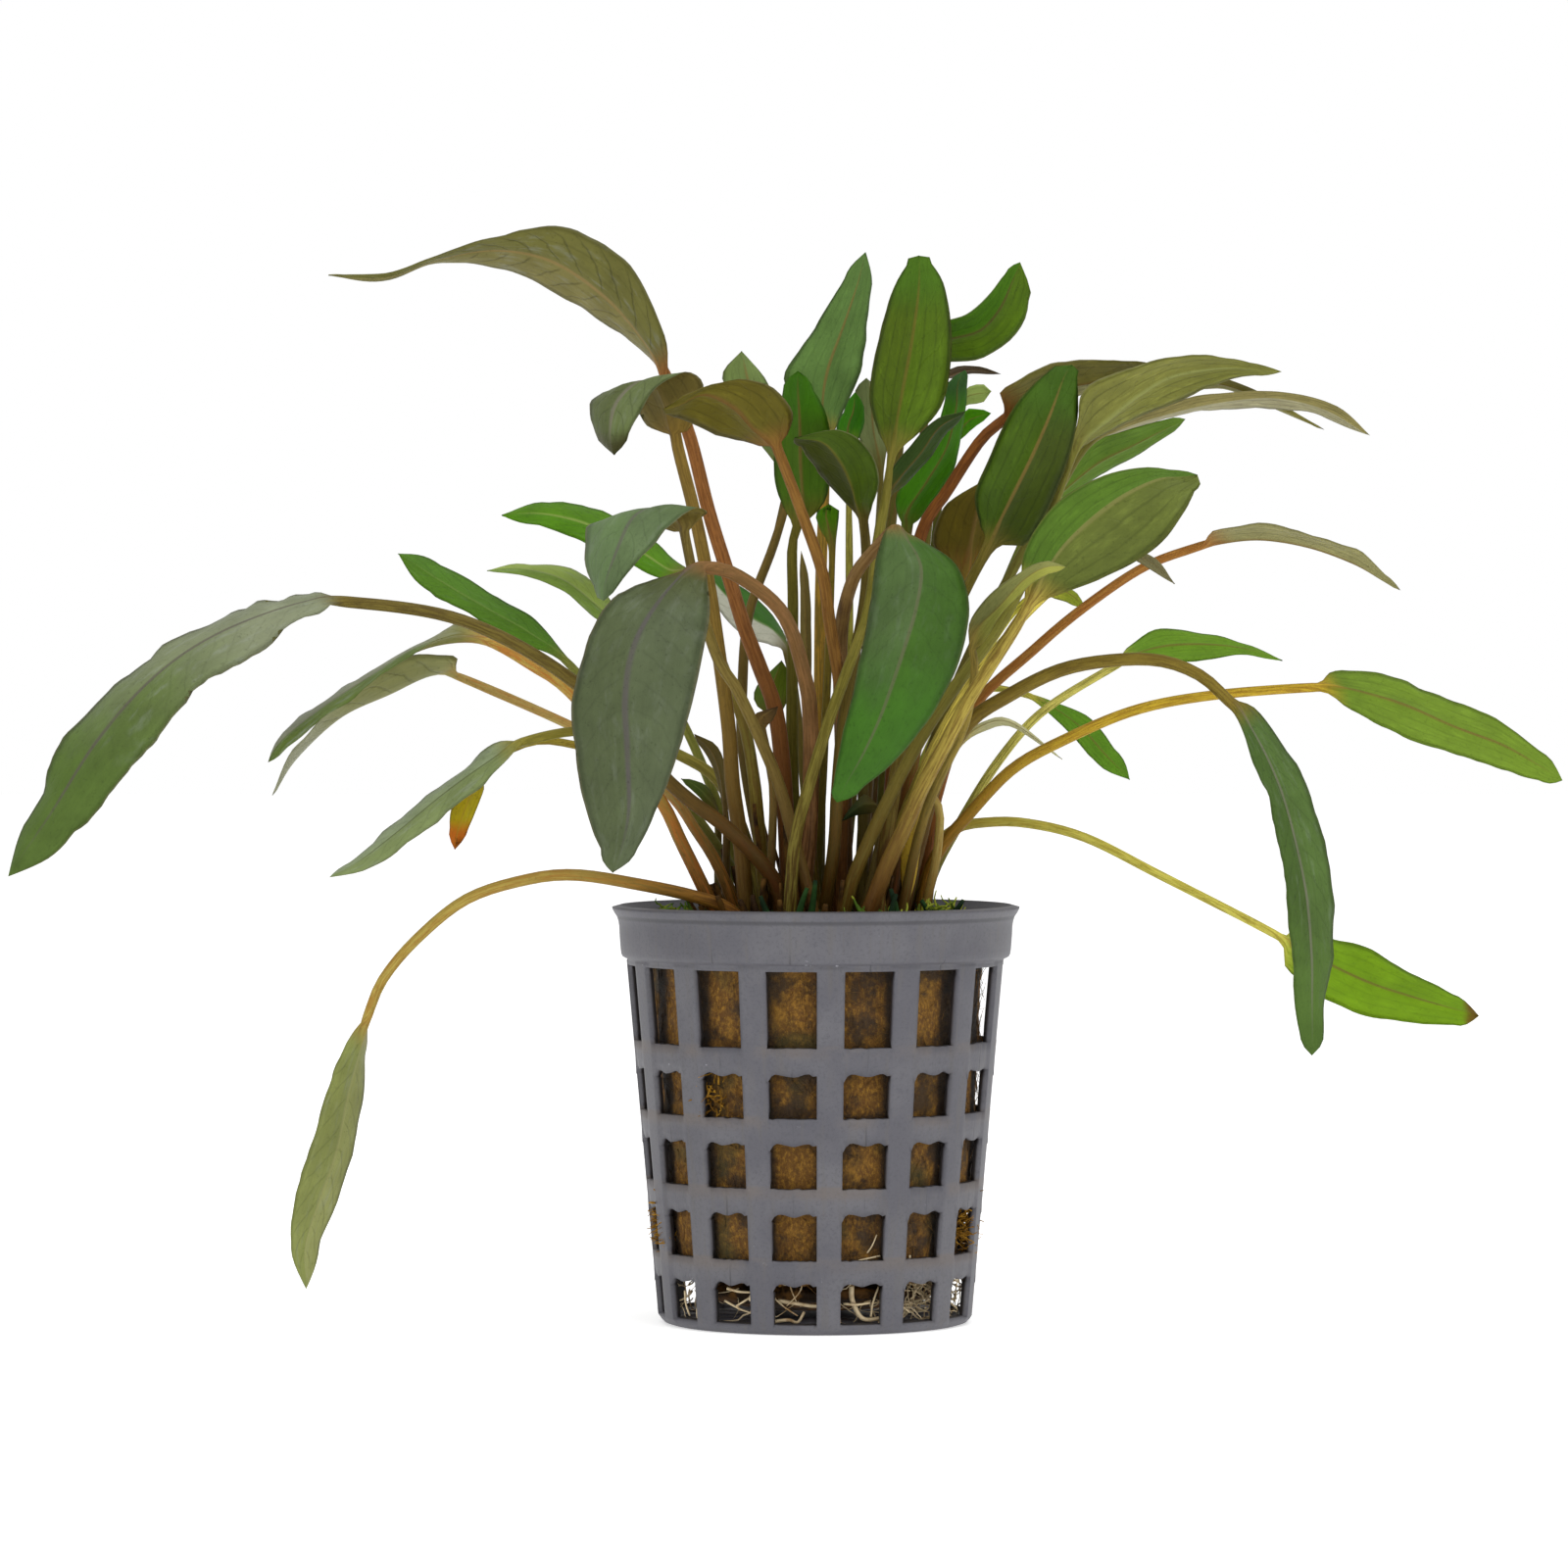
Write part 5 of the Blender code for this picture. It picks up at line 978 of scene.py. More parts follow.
leaf("upright_blue_green", "green", 0.62,
     [(0.2, 5.5), (0.4, 62, 7), (0.5, 76, 9.5), (0.6, 90, 13), (1, 101, 16), (1.3, 108, 18)],
     [(-1.4, 112.3, 20, 0.8, 112.3, 18.5, 3.2, 111, 20),
      (-3.9, 116, 21.5, 1.5, 116.8, 19.5, 5.2, 116, 21.5),
      (0, 122.3, 23.5, 3.4, 122.2, 21.5, 6.3, 121.5, 23.5), (3.4, 127.7, 25, 5, 127, 23.5, 6.7, 126.3, 25)],
     (6.1, 131.2, 25), top=(76, 116, 42), top_far=(73, 110, 40), rib=(108, 138, 80), rib_width=0.045,
     under=(88, 118, 56), foot=(79, 62, 15), stalk_tone=(170, 130, 44), margin=(92, 110, 60), glow=0.2)
leaf("small_bright_centre", "bright_green", 0.42,
     [(3.6, 3), (3.9, 62, 2.5), (4.1, 78, 1.5), (4.1, 94, 0.5), (4, 105.3, 0.5)],
     [(2.5, 109.4, 1.5, 3.9, 109.6, 0, 5.7, 109.4, 1.5), (3.6, 112, 1, 4.6, 111.8, 0, 5.9, 111.8, 1)],
     (4.8, 114.1, 0), top=(46, 114, 2), top_far=(64, 136, 2), under=(56, 122, 2), rib=(80, 126, 24),
     foot=(81, 67, 14), stalk_tone=(180, 172, 76), margin=(70, 120, 20), glow=0.3)
leaf("pale_behind_centre", "sage", 0.42,
     [(3.1, 7.5), (4.5, 64, 12), (6.3, 82, 17), (7.6, 96, 21), (7.9, 104, 23)],
     [(4.9, 109.4, 24, 7, 109.6, 24, 9, 109.6, 25), (4.9, 113.6, 25, 6.8, 113.6, 25, 8.4, 113.4, 26)],
     (6.2, 115.8, 26), top=(120, 132, 86), under=(118, 128, 80), rib=(136, 146, 100), foot=(84, 67, 16),
     stalk_tone=(104, 94, 34), glow=0.3)
leaf("tall_front", "olive", 0.56,
     [(-3.4, -12.4), (-2.6, 58.8, -13.2), (-1, 65.3, -14), (1.6, 73.8, -14.5), (4.1, 80.7, -13.5),
      (6.3, 87, -10.8), (7.5, 95, -9.6), (8.6, 101.4, -9.5), (9.3, 106.4, -10)],
     [(7.6, 109.4, -10, 9.8, 109.9, -11.5, 13, 109.4, -10),
      (6.6, 113.6, -9, 10.6, 114.2, -12, 15.7, 113.2, -9),
      (7.6, 120.2, -8, 11.7, 120, -11.5, 16.7, 120.4, -8),
      (9.1, 125.8, -8, 12.5, 125.5, -10.5, 16, 126.4, -8),
      (11.1, 129.6, -8.5, 12.7, 129.1, -9.5, 14.2, 129.8, -8.5)],
     (12.6, 130.8, -9), top=(70, 88, 0), top_far=(70, 92, 0), base_tone=(84, 86, 22), base_length=0.5,
     rib=(104, 92, 34), rib_width=0.05, under=(72, 92, 10), foot=(72, 50, 8), stalk_tone=(112, 106, 38),
     stalk_stripe=(134, 124, 52), tip_tone=(68, 102, 18), tip_length=0.35, margin=(112, 112, 48), vein=0.8,
     ruffle=0.15, fullness=2.4, under_far=(75, 100, 12), rib_under=(100, 90, 30))
leaf("twisted_top", "olive", 0.62,
     [(5.3, 6), (6, 62, 8), (7, 76, 11), (8.6, 92, 14.5), (10, 106, 17.5), (11.2, 117.4, 19)],
     [(13.6, 122.4, 18, 14, 120.3, 19, 13.7, 117.8, 20), (16.7, 123, 17, 17, 120.9, 19, 16.9, 117.8, 21),
      (19, 124, 17.5, 20.2, 121.8, 19, 20.6, 118.3, 20.5),
      (21.4, 126.3, 18.5, 22.5, 124.4, 19, 24.6, 121.2, 20.5),
      (23.2, 128.6, 19.5, 24, 127.7, 19.5, 26.1, 125.4, 20.5)],
     (25, 130, 20), top=(62, 104, 14), top_far=(76, 102, 22), base_tone=(82, 84, 30), base_length=0.45,
     rib=(86, 72, 36), under=(62, 102, 8), foot=(81, 55, 14), stalk_tone=(86, 84, 28),
     stalk_stripe=(100, 76, 36), vein=0.7, ruffle=0.15, under_far=(76, 104, 12), rib_under=(86, 72, 34))
leaf("thin_dark_edge", "brown", 0.42,
     [(5.6, 9), (7.2, 64, 13.5), (9.4, 82, 19), (11.8, 100, 24), (14.2, 114.2, 27)],
     [(16.6, 117, 27, 16.7, 116.3, 28, 16.8, 115.8, 29),
      (19.5, 117.3, 27.5, 19.5, 116.9, 28, 19.5, 116.4, 28.5)],
     (22.7, 116.3, 28), top=(72, 58, 40), under=(74, 60, 40), rib=(84, 66, 46), foot=(74, 47, 14),
     stalk_tone=(92, 72, 34))
leaf("small_dark_front", "olive", 0.59,
     [(0.7, -7), (2.2, 58, -9.6), (2.6, 65, -10.8), (3.3, 73.3, -11.2), (4.5, 80.5, -9.4),
      (5.7, 86.8, -6.2), (6.2, 92, -5.6), (5.9, 97.8, -7.4)],
     [(3.6, 100.6, -9, 5, 100.9, -10, 7, 100.2, -11.5),
      (1.3, 102.9, -11, 4.3, 103, -12.5, 7.8, 103.4, -13.6),
      (-0.5, 105.5, -14, 3, 105.6, -16, 6.6, 106.9, -15),
      (-1.7, 107.5, -17, 0.8, 108, -18.5, 3.4, 109.3, -18)],
     (-2.6, 108.5, -20), top=(56, 62, 20), top_far=(64, 82, 18), base_tone=(82, 82, 26), base_length=0.25,
     rib=(108, 102, 40), rib_width=0.06, under=(54, 62, 14), foot=(84, 54, 13), stalk_tone=(100, 87, 32),
     stalk_stripe=(80, 66, 24), vein=0.6, under_far=(60, 80, 10), rib_under=(100, 96, 36))
leaf("diagonal_dark", "green", 0.53,
     [(5.7, -3.2), (5.8, 62, -3.6), (5.9, 76, -3.5), (6.8, 90, -3.5), (8.3, 100.3, -3.5)],
     [(9.2, 104.4, -4, 10.1, 103.6, -3.5, 11.2, 102.8, -2),
      (11.3, 107.2, -4.5, 12.7, 106.6, -3.5, 13.9, 106, -2),
      (14.2, 110.4, -4.5, 15.1, 109.9, -3.5, 16.1, 109.2, -2)],
     (18.3, 111.7, -3), top=(50, 80, 18), top_far=(42, 92, 0), under=(58, 82, 30), rib=(74, 100, 50),
     foot=(77, 59, 14), stalk_tone=(100, 94, 40))
leaf("bright_narrow", "bright_green", 0.56,
     [(7.6, 2), (8.2, 64, 3), (9.2, 80, 4), (11, 96.4, 4)],
     [(9.9, 99.3, 5, 11.3, 99.6, 3.5, 13.1, 98.8, 4.5), (10.2, 101.9, 5, 13.6, 103.1, 3, 16.3, 103.7, 4.5),
      (14, 107.5, 5, 16.1, 107.4, 3, 17.7, 107.5, 4.5),
      (15.6, 112.3, 4.5, 17.2, 112.1, 3, 18.4, 112.3, 4.5),
      (16.2, 115.1, 4, 17.4, 115.1, 3, 18.5, 115.2, 4)],
     (18.3, 116.8, 3.5), top=(64, 126, 0), top_far=(66, 136, 0), rib=(90, 124, 40), under=(66, 126, 0),
     foot=(83, 67, 14), stalk_tone=(96, 100, 24), tip_tone=(54, 92, 40), tip_length=0.25,
     margin=(84, 120, 36), glow=0.3)
leaf("pale_tip_behind", "sage", 0.42,
     [(8.6, 6.5), (10.4, 66, 10), (12.6, 86, 14.5), (14.6, 105, 18), (15.6, 110.6, 19)],
     [(18.4, 114.5, 19, 18.4, 113.5, 19.5, 18.4, 112.4, 20),
      (20.2, 115, 19, 20.2, 114, 19.5, 20.2, 112.8, 20)],
     (21.5, 114.2, 19.5), top=(162, 182, 96), under=(158, 178, 96), rib=(136, 150, 96), foot=(83, 66, 15),
     stalk_tone=(98, 90, 40), glow=0.3)
leaf("bright_tip_behind", "bright_green", 0.42,
     [(9.8, 4.6), (11.4, 64, 6.6), (13.4, 84, 9), (15.4, 103.5, 11.4), (16.2, 107, 12)],
     [(18.2, 111.7, 12, 18.3, 110.3, 12.5, 18.4, 108.9, 13),
      (20.2, 111.9, 12, 20.2, 111.3, 12.5, 20.2, 110.4, 13)],
     (21.5, 111.5, 12.5), top=(78, 148, 2), under=(78, 146, 2), rib=(92, 134, 38), foot=(77, 62, 13),
     stalk_tone=(90, 86, 26), margin=(84, 128, 30), glow=0.3)

# Leaves in the middle of the clump
# The large one curves over and hangs in front of the stalks, among short, new or dying ones.

leaf("large_front_centre", "green", 0.71,
     [(3.6, -1.4), (3.5, 62, -2.1), (3.2, 72, -2.9), (3, 78.1, -3.6), (3.1, 84.6, -5), (3.7, 88.4, -9.2),
      (5, 92, -14.4), (7.4, 95, -18), (9.6, 97.2, -21)],
     [(8.3, 96.8, -23, 10.9, 96.3, -24, 13.6, 95.7, -23),
      (7.3, 93.2, -24, 12.9, 92.6, -26, 17.2, 92.8, -24),
      (6.6, 87.7, -26, 12.3, 87.5, -28.5, 18.8, 88.2, -26), (5.5, 82, -28, 10.6, 82, -30.5, 17.9, 82, -28),
      (4.1, 75.6, -29, 8.2, 75.1, -31, 15, 75.7, -29), (2.9, 70.3, -29, 5.9, 70, -30.5, 10.3, 69.5, -29),
      (2.2, 66.1, -28.5, 3.8, 66.3, -29, 5.8, 65.7, -28.5)],
     (2.6, 63.8, -28), top=(72, 94, 50), top_far=(60, 92, 30), rib=(92, 94, 66), rib_width=0.04,
     under=(86, 92, 42), foot=(79, 47, 13), stalk_tone=(130, 102, 58), stalk_stripe=(104, 74, 38),
     tip_tone=(56, 98, 24), tip_length=0.6, margin=(122, 132, 84), speckle=0.3, vein=0.4, ruffle=0.2,
     fullness=2)
leaf("rolled_spear", "olive", 0.43,
     [(0.4, -1.5), (-0.4, 58, -2.2), (-0.9, 67, -3), (-1, 76, -3)],
     [(-1.9, 84, -3, -1.2, 84, -3.5, -0.5, 84, -3), (-1.9, 90.3, -3, -1.4, 90.5, -3.4, -0.8, 90.3, -3)],
     (-1.8, 94.7, -3), top=(110, 96, 46), top_far=(160, 138, 66), under=(110, 96, 46), rib=(98, 90, 44),
     foot=(89, 69, 16), stalk_tone=(120, 96, 38), stalk_stripe=(136, 118, 50))
leaf("small_spoon", "bright_green", 0.42,
     [(-0.2, 2), (0.5, 60, 2), (1.2, 74, 1.5), (1.7, 86, 1), (2, 94.6, 0.6)],
     [(0.5, 97.3, 1, 1.6, 97.4, 0, 2.6, 97, 1), (0, 99, 1, 1.2, 99.1, 0, 2.7, 99, 1)],
     (1.6, 100.4, 0.5), top=(72, 126, 2), under=(72, 122, 2), rib=(96, 124, 34), foot=(89, 74, 16),
     stalk_tone=(130, 112, 38), margin=(88, 122, 30), glow=0.25, fullness=2.2)
leaf("back_green_white", "green", 0.5,
     [(0.2, 9), (-1, 62, 11.5), (-2.2, 74, 15), (-3.4, 81.6, 18)],
     [(-4.3, 85.4, 22, -5, 84.6, 20, -5.6, 83.2, 18.5), (-7.7, 89.3, 24.5, -8, 86.5, 22.5, -8.7, 84.1, 21),
      (-11, 91.2, 27, -11.3, 89.4, 25.5, -12, 87.6, 24)],
     (-13.9, 92.6, 28), top=(66, 114, 42), top_far=(198, 198, 180), rib=(118, 146, 84),
     under=(120, 136, 82), foot=(84, 67, 16), stalk_tone=(104, 90, 34), glow=0.25)
leaf("back_small_green", "bright_green", 0.43,
     [(-2.6, 10.5), (-3.8, 60, 12.5), (-4.8, 73, 15.5)],
     [(-7.6, 76.5, 17, -5.7, 76.4, 16.5, -3.3, 77, 17.5)],
     (-4.2, 81.2, 18.5), top=(78, 104, 28), under=(80, 104, 30), rib=(104, 124, 48), foot=(84, 66, 15),
     stalk_tone=(104, 80, 32), glow=0.25, top_far=(98, 116, 26), under_far=(98, 116, 26))
leaf("small_withered", "brown", 0.42,
     [(-6, -7), (-5.4, 58, -7), (-5.3, 66, -7.5), (-6.4, 72.2, -8)],
     [(-7.9, 74.2, -8.5, -6.9, 74, -8.5, -5.9, 73.3, -9)],
     (-4.6, 75.6, -9), top=(74, 56, 28), under=(70, 52, 26), rib=(92, 66, 32), foot=(77, 45, 11),
     stalk_tone=(112, 86, 40), speckle=0.5)
leaf("brown_behind_front", "brown", 0.59,
     [(8.8, -0.8), (10.6, 62, -0.8), (13.6, 76, -0.6), (16.6, 86, -0.4), (18.4, 91.2, -0.4)],
     [(14.4, 95.2, 0.8, 19, 95.3, -0.6, 22, 95.2, 0.4), (15.2, 99.1, 0.8, 19.8, 99.3, -0.6, 23, 98.4, 0.4),
      (17.4, 101.4, 0.4, 21, 102.2, -0.6, 24, 101.6, 0.2)],
     (24.3, 105, -0.4), top=(92, 80, 16), top_far=(68, 68, 16), rib=(118, 74, 34), under=(92, 80, 16),
     foot=(79, 47, 12), stalk_tone=(120, 100, 36), stalk_stripe=(130, 74, 34), vein=0.8)
leaf("yellow_hanging", "yellow", 0.42,
     [(12.5, -7.3), (14.6, 56, -7.7), (15.2, 61, -8), (15.1, 63, -8.1), (14.6, 64.4, -8.2),
      (13.8, 64.9, -8.3), (13.1, 64.2, -8.4)],
     [(10.8, 60.8, -8, 12.2, 61, -8.5, 13.3, 61.4, -8),
      (10.4, 56.3, -7.8, 11.5, 56.3, -8.3, 12.6, 56.6, -7.8)],
     (11.2, 51, -8), top=(214, 178, 58), under=(208, 172, 56), rib=(150, 124, 56), rib_under=(150, 124, 56),
     foot=(95, 66, 15), stalk_tone=(164, 146, 78), stalk_stripe=(132, 98, 42), speckle=0.4)
leaf("small_dark_low", "green", 0.42,
     [(5.2, -6.4), (7.2, 56, -6.4), (8.1, 62.4, -6.8)],
     [(6.1, 64.8, -7.4, 6.3, 63.6, -7.6, 6.6, 62.4, -7.2),
      (4.5, 63.4, -7.5, 4.7, 62.9, -7.7, 4.7, 62.2, -7.4)],
     (3.2, 61.5, -7.6), top=(38, 52, 18), under=(42, 54, 20), rib=(62, 72, 32), foot=(72, 54, 13),
     stalk_tone=(92, 76, 32))

# Leaves of the right side
# They arch to the right in tiers, the upper ones edge-on and showing their undersides.

leaf("large_right_front", "olive", 0.71,
     [(7.4, -9.9), (9, 62, -9.9), (11.4, 74, -9.2), (14.6, 82, -9.5), (20.9, 94.6, -12.5)],
     [(20.1, 97.7, -12, 22.4, 98, -13.5, 25.6, 95.3, -12.5),
      (19.6, 101.5, -12, 24, 101.2, -14.5, 28.1, 98.9, -12.5),
      (21.4, 106.4, -12, 26.5, 106.2, -14.5, 30.8, 105.2, -12.5),
      (24.5, 112.7, -12, 28.7, 111.2, -14, 32.1, 111.2, -12.5),
      (28.4, 116.5, -12, 30.4, 115.8, -13, 32, 115.8, -12.5)],
     (31.4, 117.4, -12.5), top=(62, 88, 18), top_far=(60, 74, 20), base_tone=(66, 70, 20), base_length=0.4,
     tip_tone=(60, 90, 20), tip_length=0.4, rib=(104, 108, 42), rib_width=0.05, under=(60, 84, 12),
     foot=(84, 49, 13), stalk_tone=(98, 88, 28), stalk_stripe=(118, 104, 44), margin=(116, 116, 58),
     vein=0.8, ruffle=0.2, fullness=2.2, under_far=(58, 72, 14))
leaf("brown_arch_right", "brown", 0.65,
     [(8.1, -4), (9, 62, -4.8), (10.4, 80, -5.5), (11.8, 92, -5.5), (13.5, 98.2, -5.5), (15.9, 101.7, -5.5),
      (20.2, 108.2, -5.5), (23.4, 111, -5)],
     [(22.6, 114.3, -7, 25, 112.2, -4.5, 25.4, 111.2, -2.5),
      (26.8, 116.6, -7, 28, 114.4, -3.5, 28.8, 112.7, -0.5),
      (31.6, 118, -5, 32.5, 115.2, -2, 32.8, 113.8, 1), (37.6, 117.9, -3, 38.3, 116, 0, 38.5, 114.6, 2.5),
      (44.9, 116.9, -1, 44.9, 115.6, 1, 44.9, 114.4, 3), (51.7, 115.3, 1, 51.5, 114.7, 2, 51.2, 114.1, 3)],
     (62.3, 109.5, 3), top=(104, 98, 48), top_far=(134, 130, 82), under=(126, 120, 58),
     under_far=(146, 142, 88), rib=(118, 92, 44), rib_under=(120, 92, 44), foot=(83, 45, 11),
     stalk_tone=(124, 74, 26), stalk_stripe=(88, 48, 16), vein=1, streak=0.3)
leaf("olive_arch_right", "olive", 0.62,
     [(2.9, -10.2), (4.8, 55, -11.8), (9.9, 66.2, -13.2), (14.9, 74.9, -12.8), (21.4, 83.9, -11.5),
      (24.3, 88.7, -11), (27.2, 95, -10.2), (29.6, 101.6, -10), (31.3, 106.2, -10)],
     [(32, 110.4, -12.5, 33, 108.6, -10, 33.8, 108.2, -8),
      (32.9, 114.3, -13.5, 35.8, 110.8, -9.5, 38, 110.6, -6),
      (38.3, 117, -13, 39.4, 113.7, -9, 41.8, 111.9, -5.5),
      (43.6, 118.5, -12, 43.6, 116.1, -8, 45.7, 113.3, -4.5),
      (49, 118.5, -10, 49.4, 117.1, -7, 50.3, 115.5, -5), (53.2, 117.7, -8, 53.5, 117, -7, 53.8, 116.1, -6)],
     (57.1, 116.6, -7), top=(124, 125, 64), top_far=(127, 129, 66), under=(118, 119, 54),
     under_far=(120, 122, 54), rib=(142, 148, 84), rib_under=(142, 148, 84), foot=(89, 62, 15),
     stalk_tone=(124, 122, 50), stalk_stripe=(104, 92, 38), vein=1.2, streak=0.3)
leaf("striped_arch_right", "olive", 0.53,
     [(10.3, 1.2), (13, 66, 1.2), (18, 80, 1.2), (24, 92, 0.6), (29.4, 101.5, -1.2), (33, 107.4, -2.6)],
     [(36.6, 110.2, -4, 37, 109.7, -3, 37.4, 109.2, -1.5),
      (42.4, 112.4, -3.6, 43, 111.6, -2.6, 43.2, 110.8, 0.5),
      (49, 114, -3.2, 49.4, 113, -2, 49.6, 111.9, 1), (56.3, 114.2, -1.6, 56.3, 113.5, -1, 56, 112.1, 1.5),
      (62.9, 112.8, -1, 62.5, 112, -0.4, 61.7, 111.2, 1)],
     (67.9, 108.8, 0.6), top=(138, 129, 78), top_far=(163, 158, 122), under=(138, 129, 78),
     under_far=(163, 158, 122), rib=(150, 142, 92), rib_under=(150, 142, 92), foot=(86, 59, 15),
     stalk_tone=(114, 112, 46), vein=1.4, streak=0.5)
leaf("green_blade_right", "bright_green", 0.53,
     [(11.9, 2.9), (13.5, 62, 3.4), (18.4, 78, 5.6), (24, 92.4, 8), (27.6, 99.8, 9)],
     [(30.2, 104.6, 8.5, 30.6, 102.4, 9.5, 30.8, 101.2, 10.5),
      (33.7, 108.2, 8, 34.6, 105.5, 10, 35.2, 104, 12), (38.8, 109.9, 8, 38.8, 107.6, 10, 39.4, 106.5, 12),
      (42.8, 110.7, 9, 42.7, 109.6, 10, 43, 108.7, 11)],
     (45.3, 110.8, 10), top=(92, 128, 36), top_far=(92, 124, 38), rib=(124, 144, 76), under=(94, 126, 40),
     foot=(84, 62, 15), stalk_tone=(124, 134, 56), stalk_stripe=(98, 94, 36), vein=0.8, streak=0.3, glow=0.2)
leaf("large_right", "green", 0.74,
     [(5.4, -12.2), (8.7, 56, -13), (10.8, 60.5, -13.8), (12.9, 65.3, -14.5), (15.9, 71, -16),
      (19, 76.8, -17), (23.7, 84.1, -17.5), (26.2, 88.2, -18)],
     [(25.2, 92.8, -19, 27.8, 91.2, -18.5, 30.4, 89.5, -20),
      (26.4, 96.4, -19, 30.2, 94.9, -18.5, 35.2, 91.3, -22),
      (29.6, 100.6, -18.5, 33.6, 98.3, -18.5, 40.3, 94, -23),
      (34.6, 103.6, -18, 37.6, 101.3, -18.5, 43.8, 97.3, -23),
      (40, 104.9, -18, 41.8, 103.3, -18.5, 45.8, 100.6, -22),
      (44, 104.5, -18, 44.6, 103.6, -18.5, 46.5, 102.2, -20)],
     (46.8, 103.9, -19), top=(82, 108, 40), top_far=(95, 105, 52), base_tone=(70, 86, 36), base_length=0.3,
     rib=(128, 124, 72), rib_width=0.05, under=(78, 108, 32), foot=(89, 50, 13), stalk_tone=(176, 156, 70),
     stalk_stripe=(104, 74, 32), margin=(124, 124, 66), streak=0.2, vein=0.7, ruffle=0.2, fullness=2,
     under_far=(92, 102, 42), rib_under=(124, 122, 68))
leaf("small_folded_right", "green", 0.46,
     [(10, -9), (12.2, 58, -10), (14.4, 65, -11), (18, 72.6, -13.5), (19.1, 77, -14), (19.5, 80.4, -14.6),
      (19.2, 82.6, -15.6)],
     [(18.9, 86, -17, 20, 85.2, -17, 20.7, 83.6, -18), (21.4, 89.4, -20, 22.8, 88, -20.5, 23.3, 87.6, -22),
      (24.4, 91.6, -22.5, 25.4, 90.9, -23, 26.2, 90.4, -24.5),
      (27.6, 93.3, -24, 28, 92.5, -24.5, 28.6, 91.8, -25.5)],
     (30.7, 92.7, -25), top=(128, 132, 90), top_far=(84, 104, 44), rib=(124, 128, 74), under=(128, 130, 72),
     foot=(84, 52, 13), stalk_tone=(150, 130, 58), under_far=(148, 150, 66))
leaf("orange_stalk_right", "olive", 0.53,
     [(13, 0.4), (13.4, 55, 0.4), (15, 65, 0.4), (18.9, 75, 0), (26.8, 82.6, -0.5), (33, 87.8, -1),
      (40.3, 92.7, -1), (47, 95.2, -1)],
     [(49, 97.3, -4, 50, 95.9, -1, 49.8, 96.6, 2), (55.1, 97.9, -5, 54.8, 96.2, -1, 55, 97, 3),
      (61.1, 96.7, -5, 60.5, 95.2, -1, 60.9, 95.9, 3), (66.7, 94.6, -4, 65.9, 93.2, -1, 66.2, 93.9, 2),
      (69.8, 91.8, -2, 69.4, 91.2, -1, 69.6, 91.5, 0)],
     (71.7, 89.8, -1), top=(138, 133, 88), top_far=(142, 138, 92), under=(140, 136, 88), rib=(142, 122, 76),
     foot=(93, 49, 11), stalk_tone=(162, 114, 50), stalk_stripe=(138, 80, 28), vein=0.9, streak=0.3,
     under_far=(146, 142, 92))
leaf("green_behind_droop", "bright_green", 0.5,
     [(13.6, 6.2), (14.2, 54.5, 7.5), (17.7, 61.3, 10), (22.5, 69, 13.5), (28, 75.1, 17), (36.8, 80.6, 22)],
     [(38.2, 82.8, 25, 39.4, 81.9, 24, 40, 81, 23), (41.8, 85, 28, 43, 82.9, 26.5, 44.2, 80.9, 25),
      (47.2, 84.7, 30.5, 47.8, 83.1, 29, 48.4, 81.3, 27.5),
      (52.4, 83.3, 32, 52.4, 82.6, 31, 52.6, 81.9, 30)],
     (57.2, 81.2, 33), top=(98, 150, 8), top_far=(96, 150, 3), rib=(132, 162, 62), under=(106, 144, 34),
     foot=(91, 69, 15), stalk_tone=(220, 208, 104), stalk_stripe=(126, 114, 44), margin=(126, 160, 56),
     streak=0.2, glow=0.3)
leaf("far_right_long", "bright_green", 0.59,
     [(12.5, -4), (13.7, 54.7, -3.3), (15.6, 58.6, -2.5), (18.3, 61.8, -1.2), (24, 67.8, 1.5),
      (30.5, 71.5, 4), (39.1, 75.1, 7), (48.3, 76.9, 9.5), (60.9, 77.9, 12)],
     [(63.5, 79.9, 14.5, 65, 77.6, 12.5, 65.5, 75.4, 10.5),
      (70, 79.3, 16.5, 71.8, 75.8, 13.5, 72.8, 71.6, 11), (76.5, 77, 17.5, 78.3, 73, 14.5, 79.5, 69.4, 12),
      (83.5, 73.8, 17.5, 84.2, 70.8, 15.5, 85, 67.5, 13.5), (89, 70, 17, 88.8, 68.2, 16, 88.8, 66.5, 15)],
     (91.6, 66.5, 16), top=(84, 120, 8), top_far=(90, 134, 4), rib=(136, 138, 58), rib_width=0.06,
     under=(112, 140, 40), foot=(103, 62, 12), stalk_tone=(210, 176, 50), stalk_stripe=(154, 110, 34),
     margin=(128, 150, 64), streak=0.2, glow=0.25)
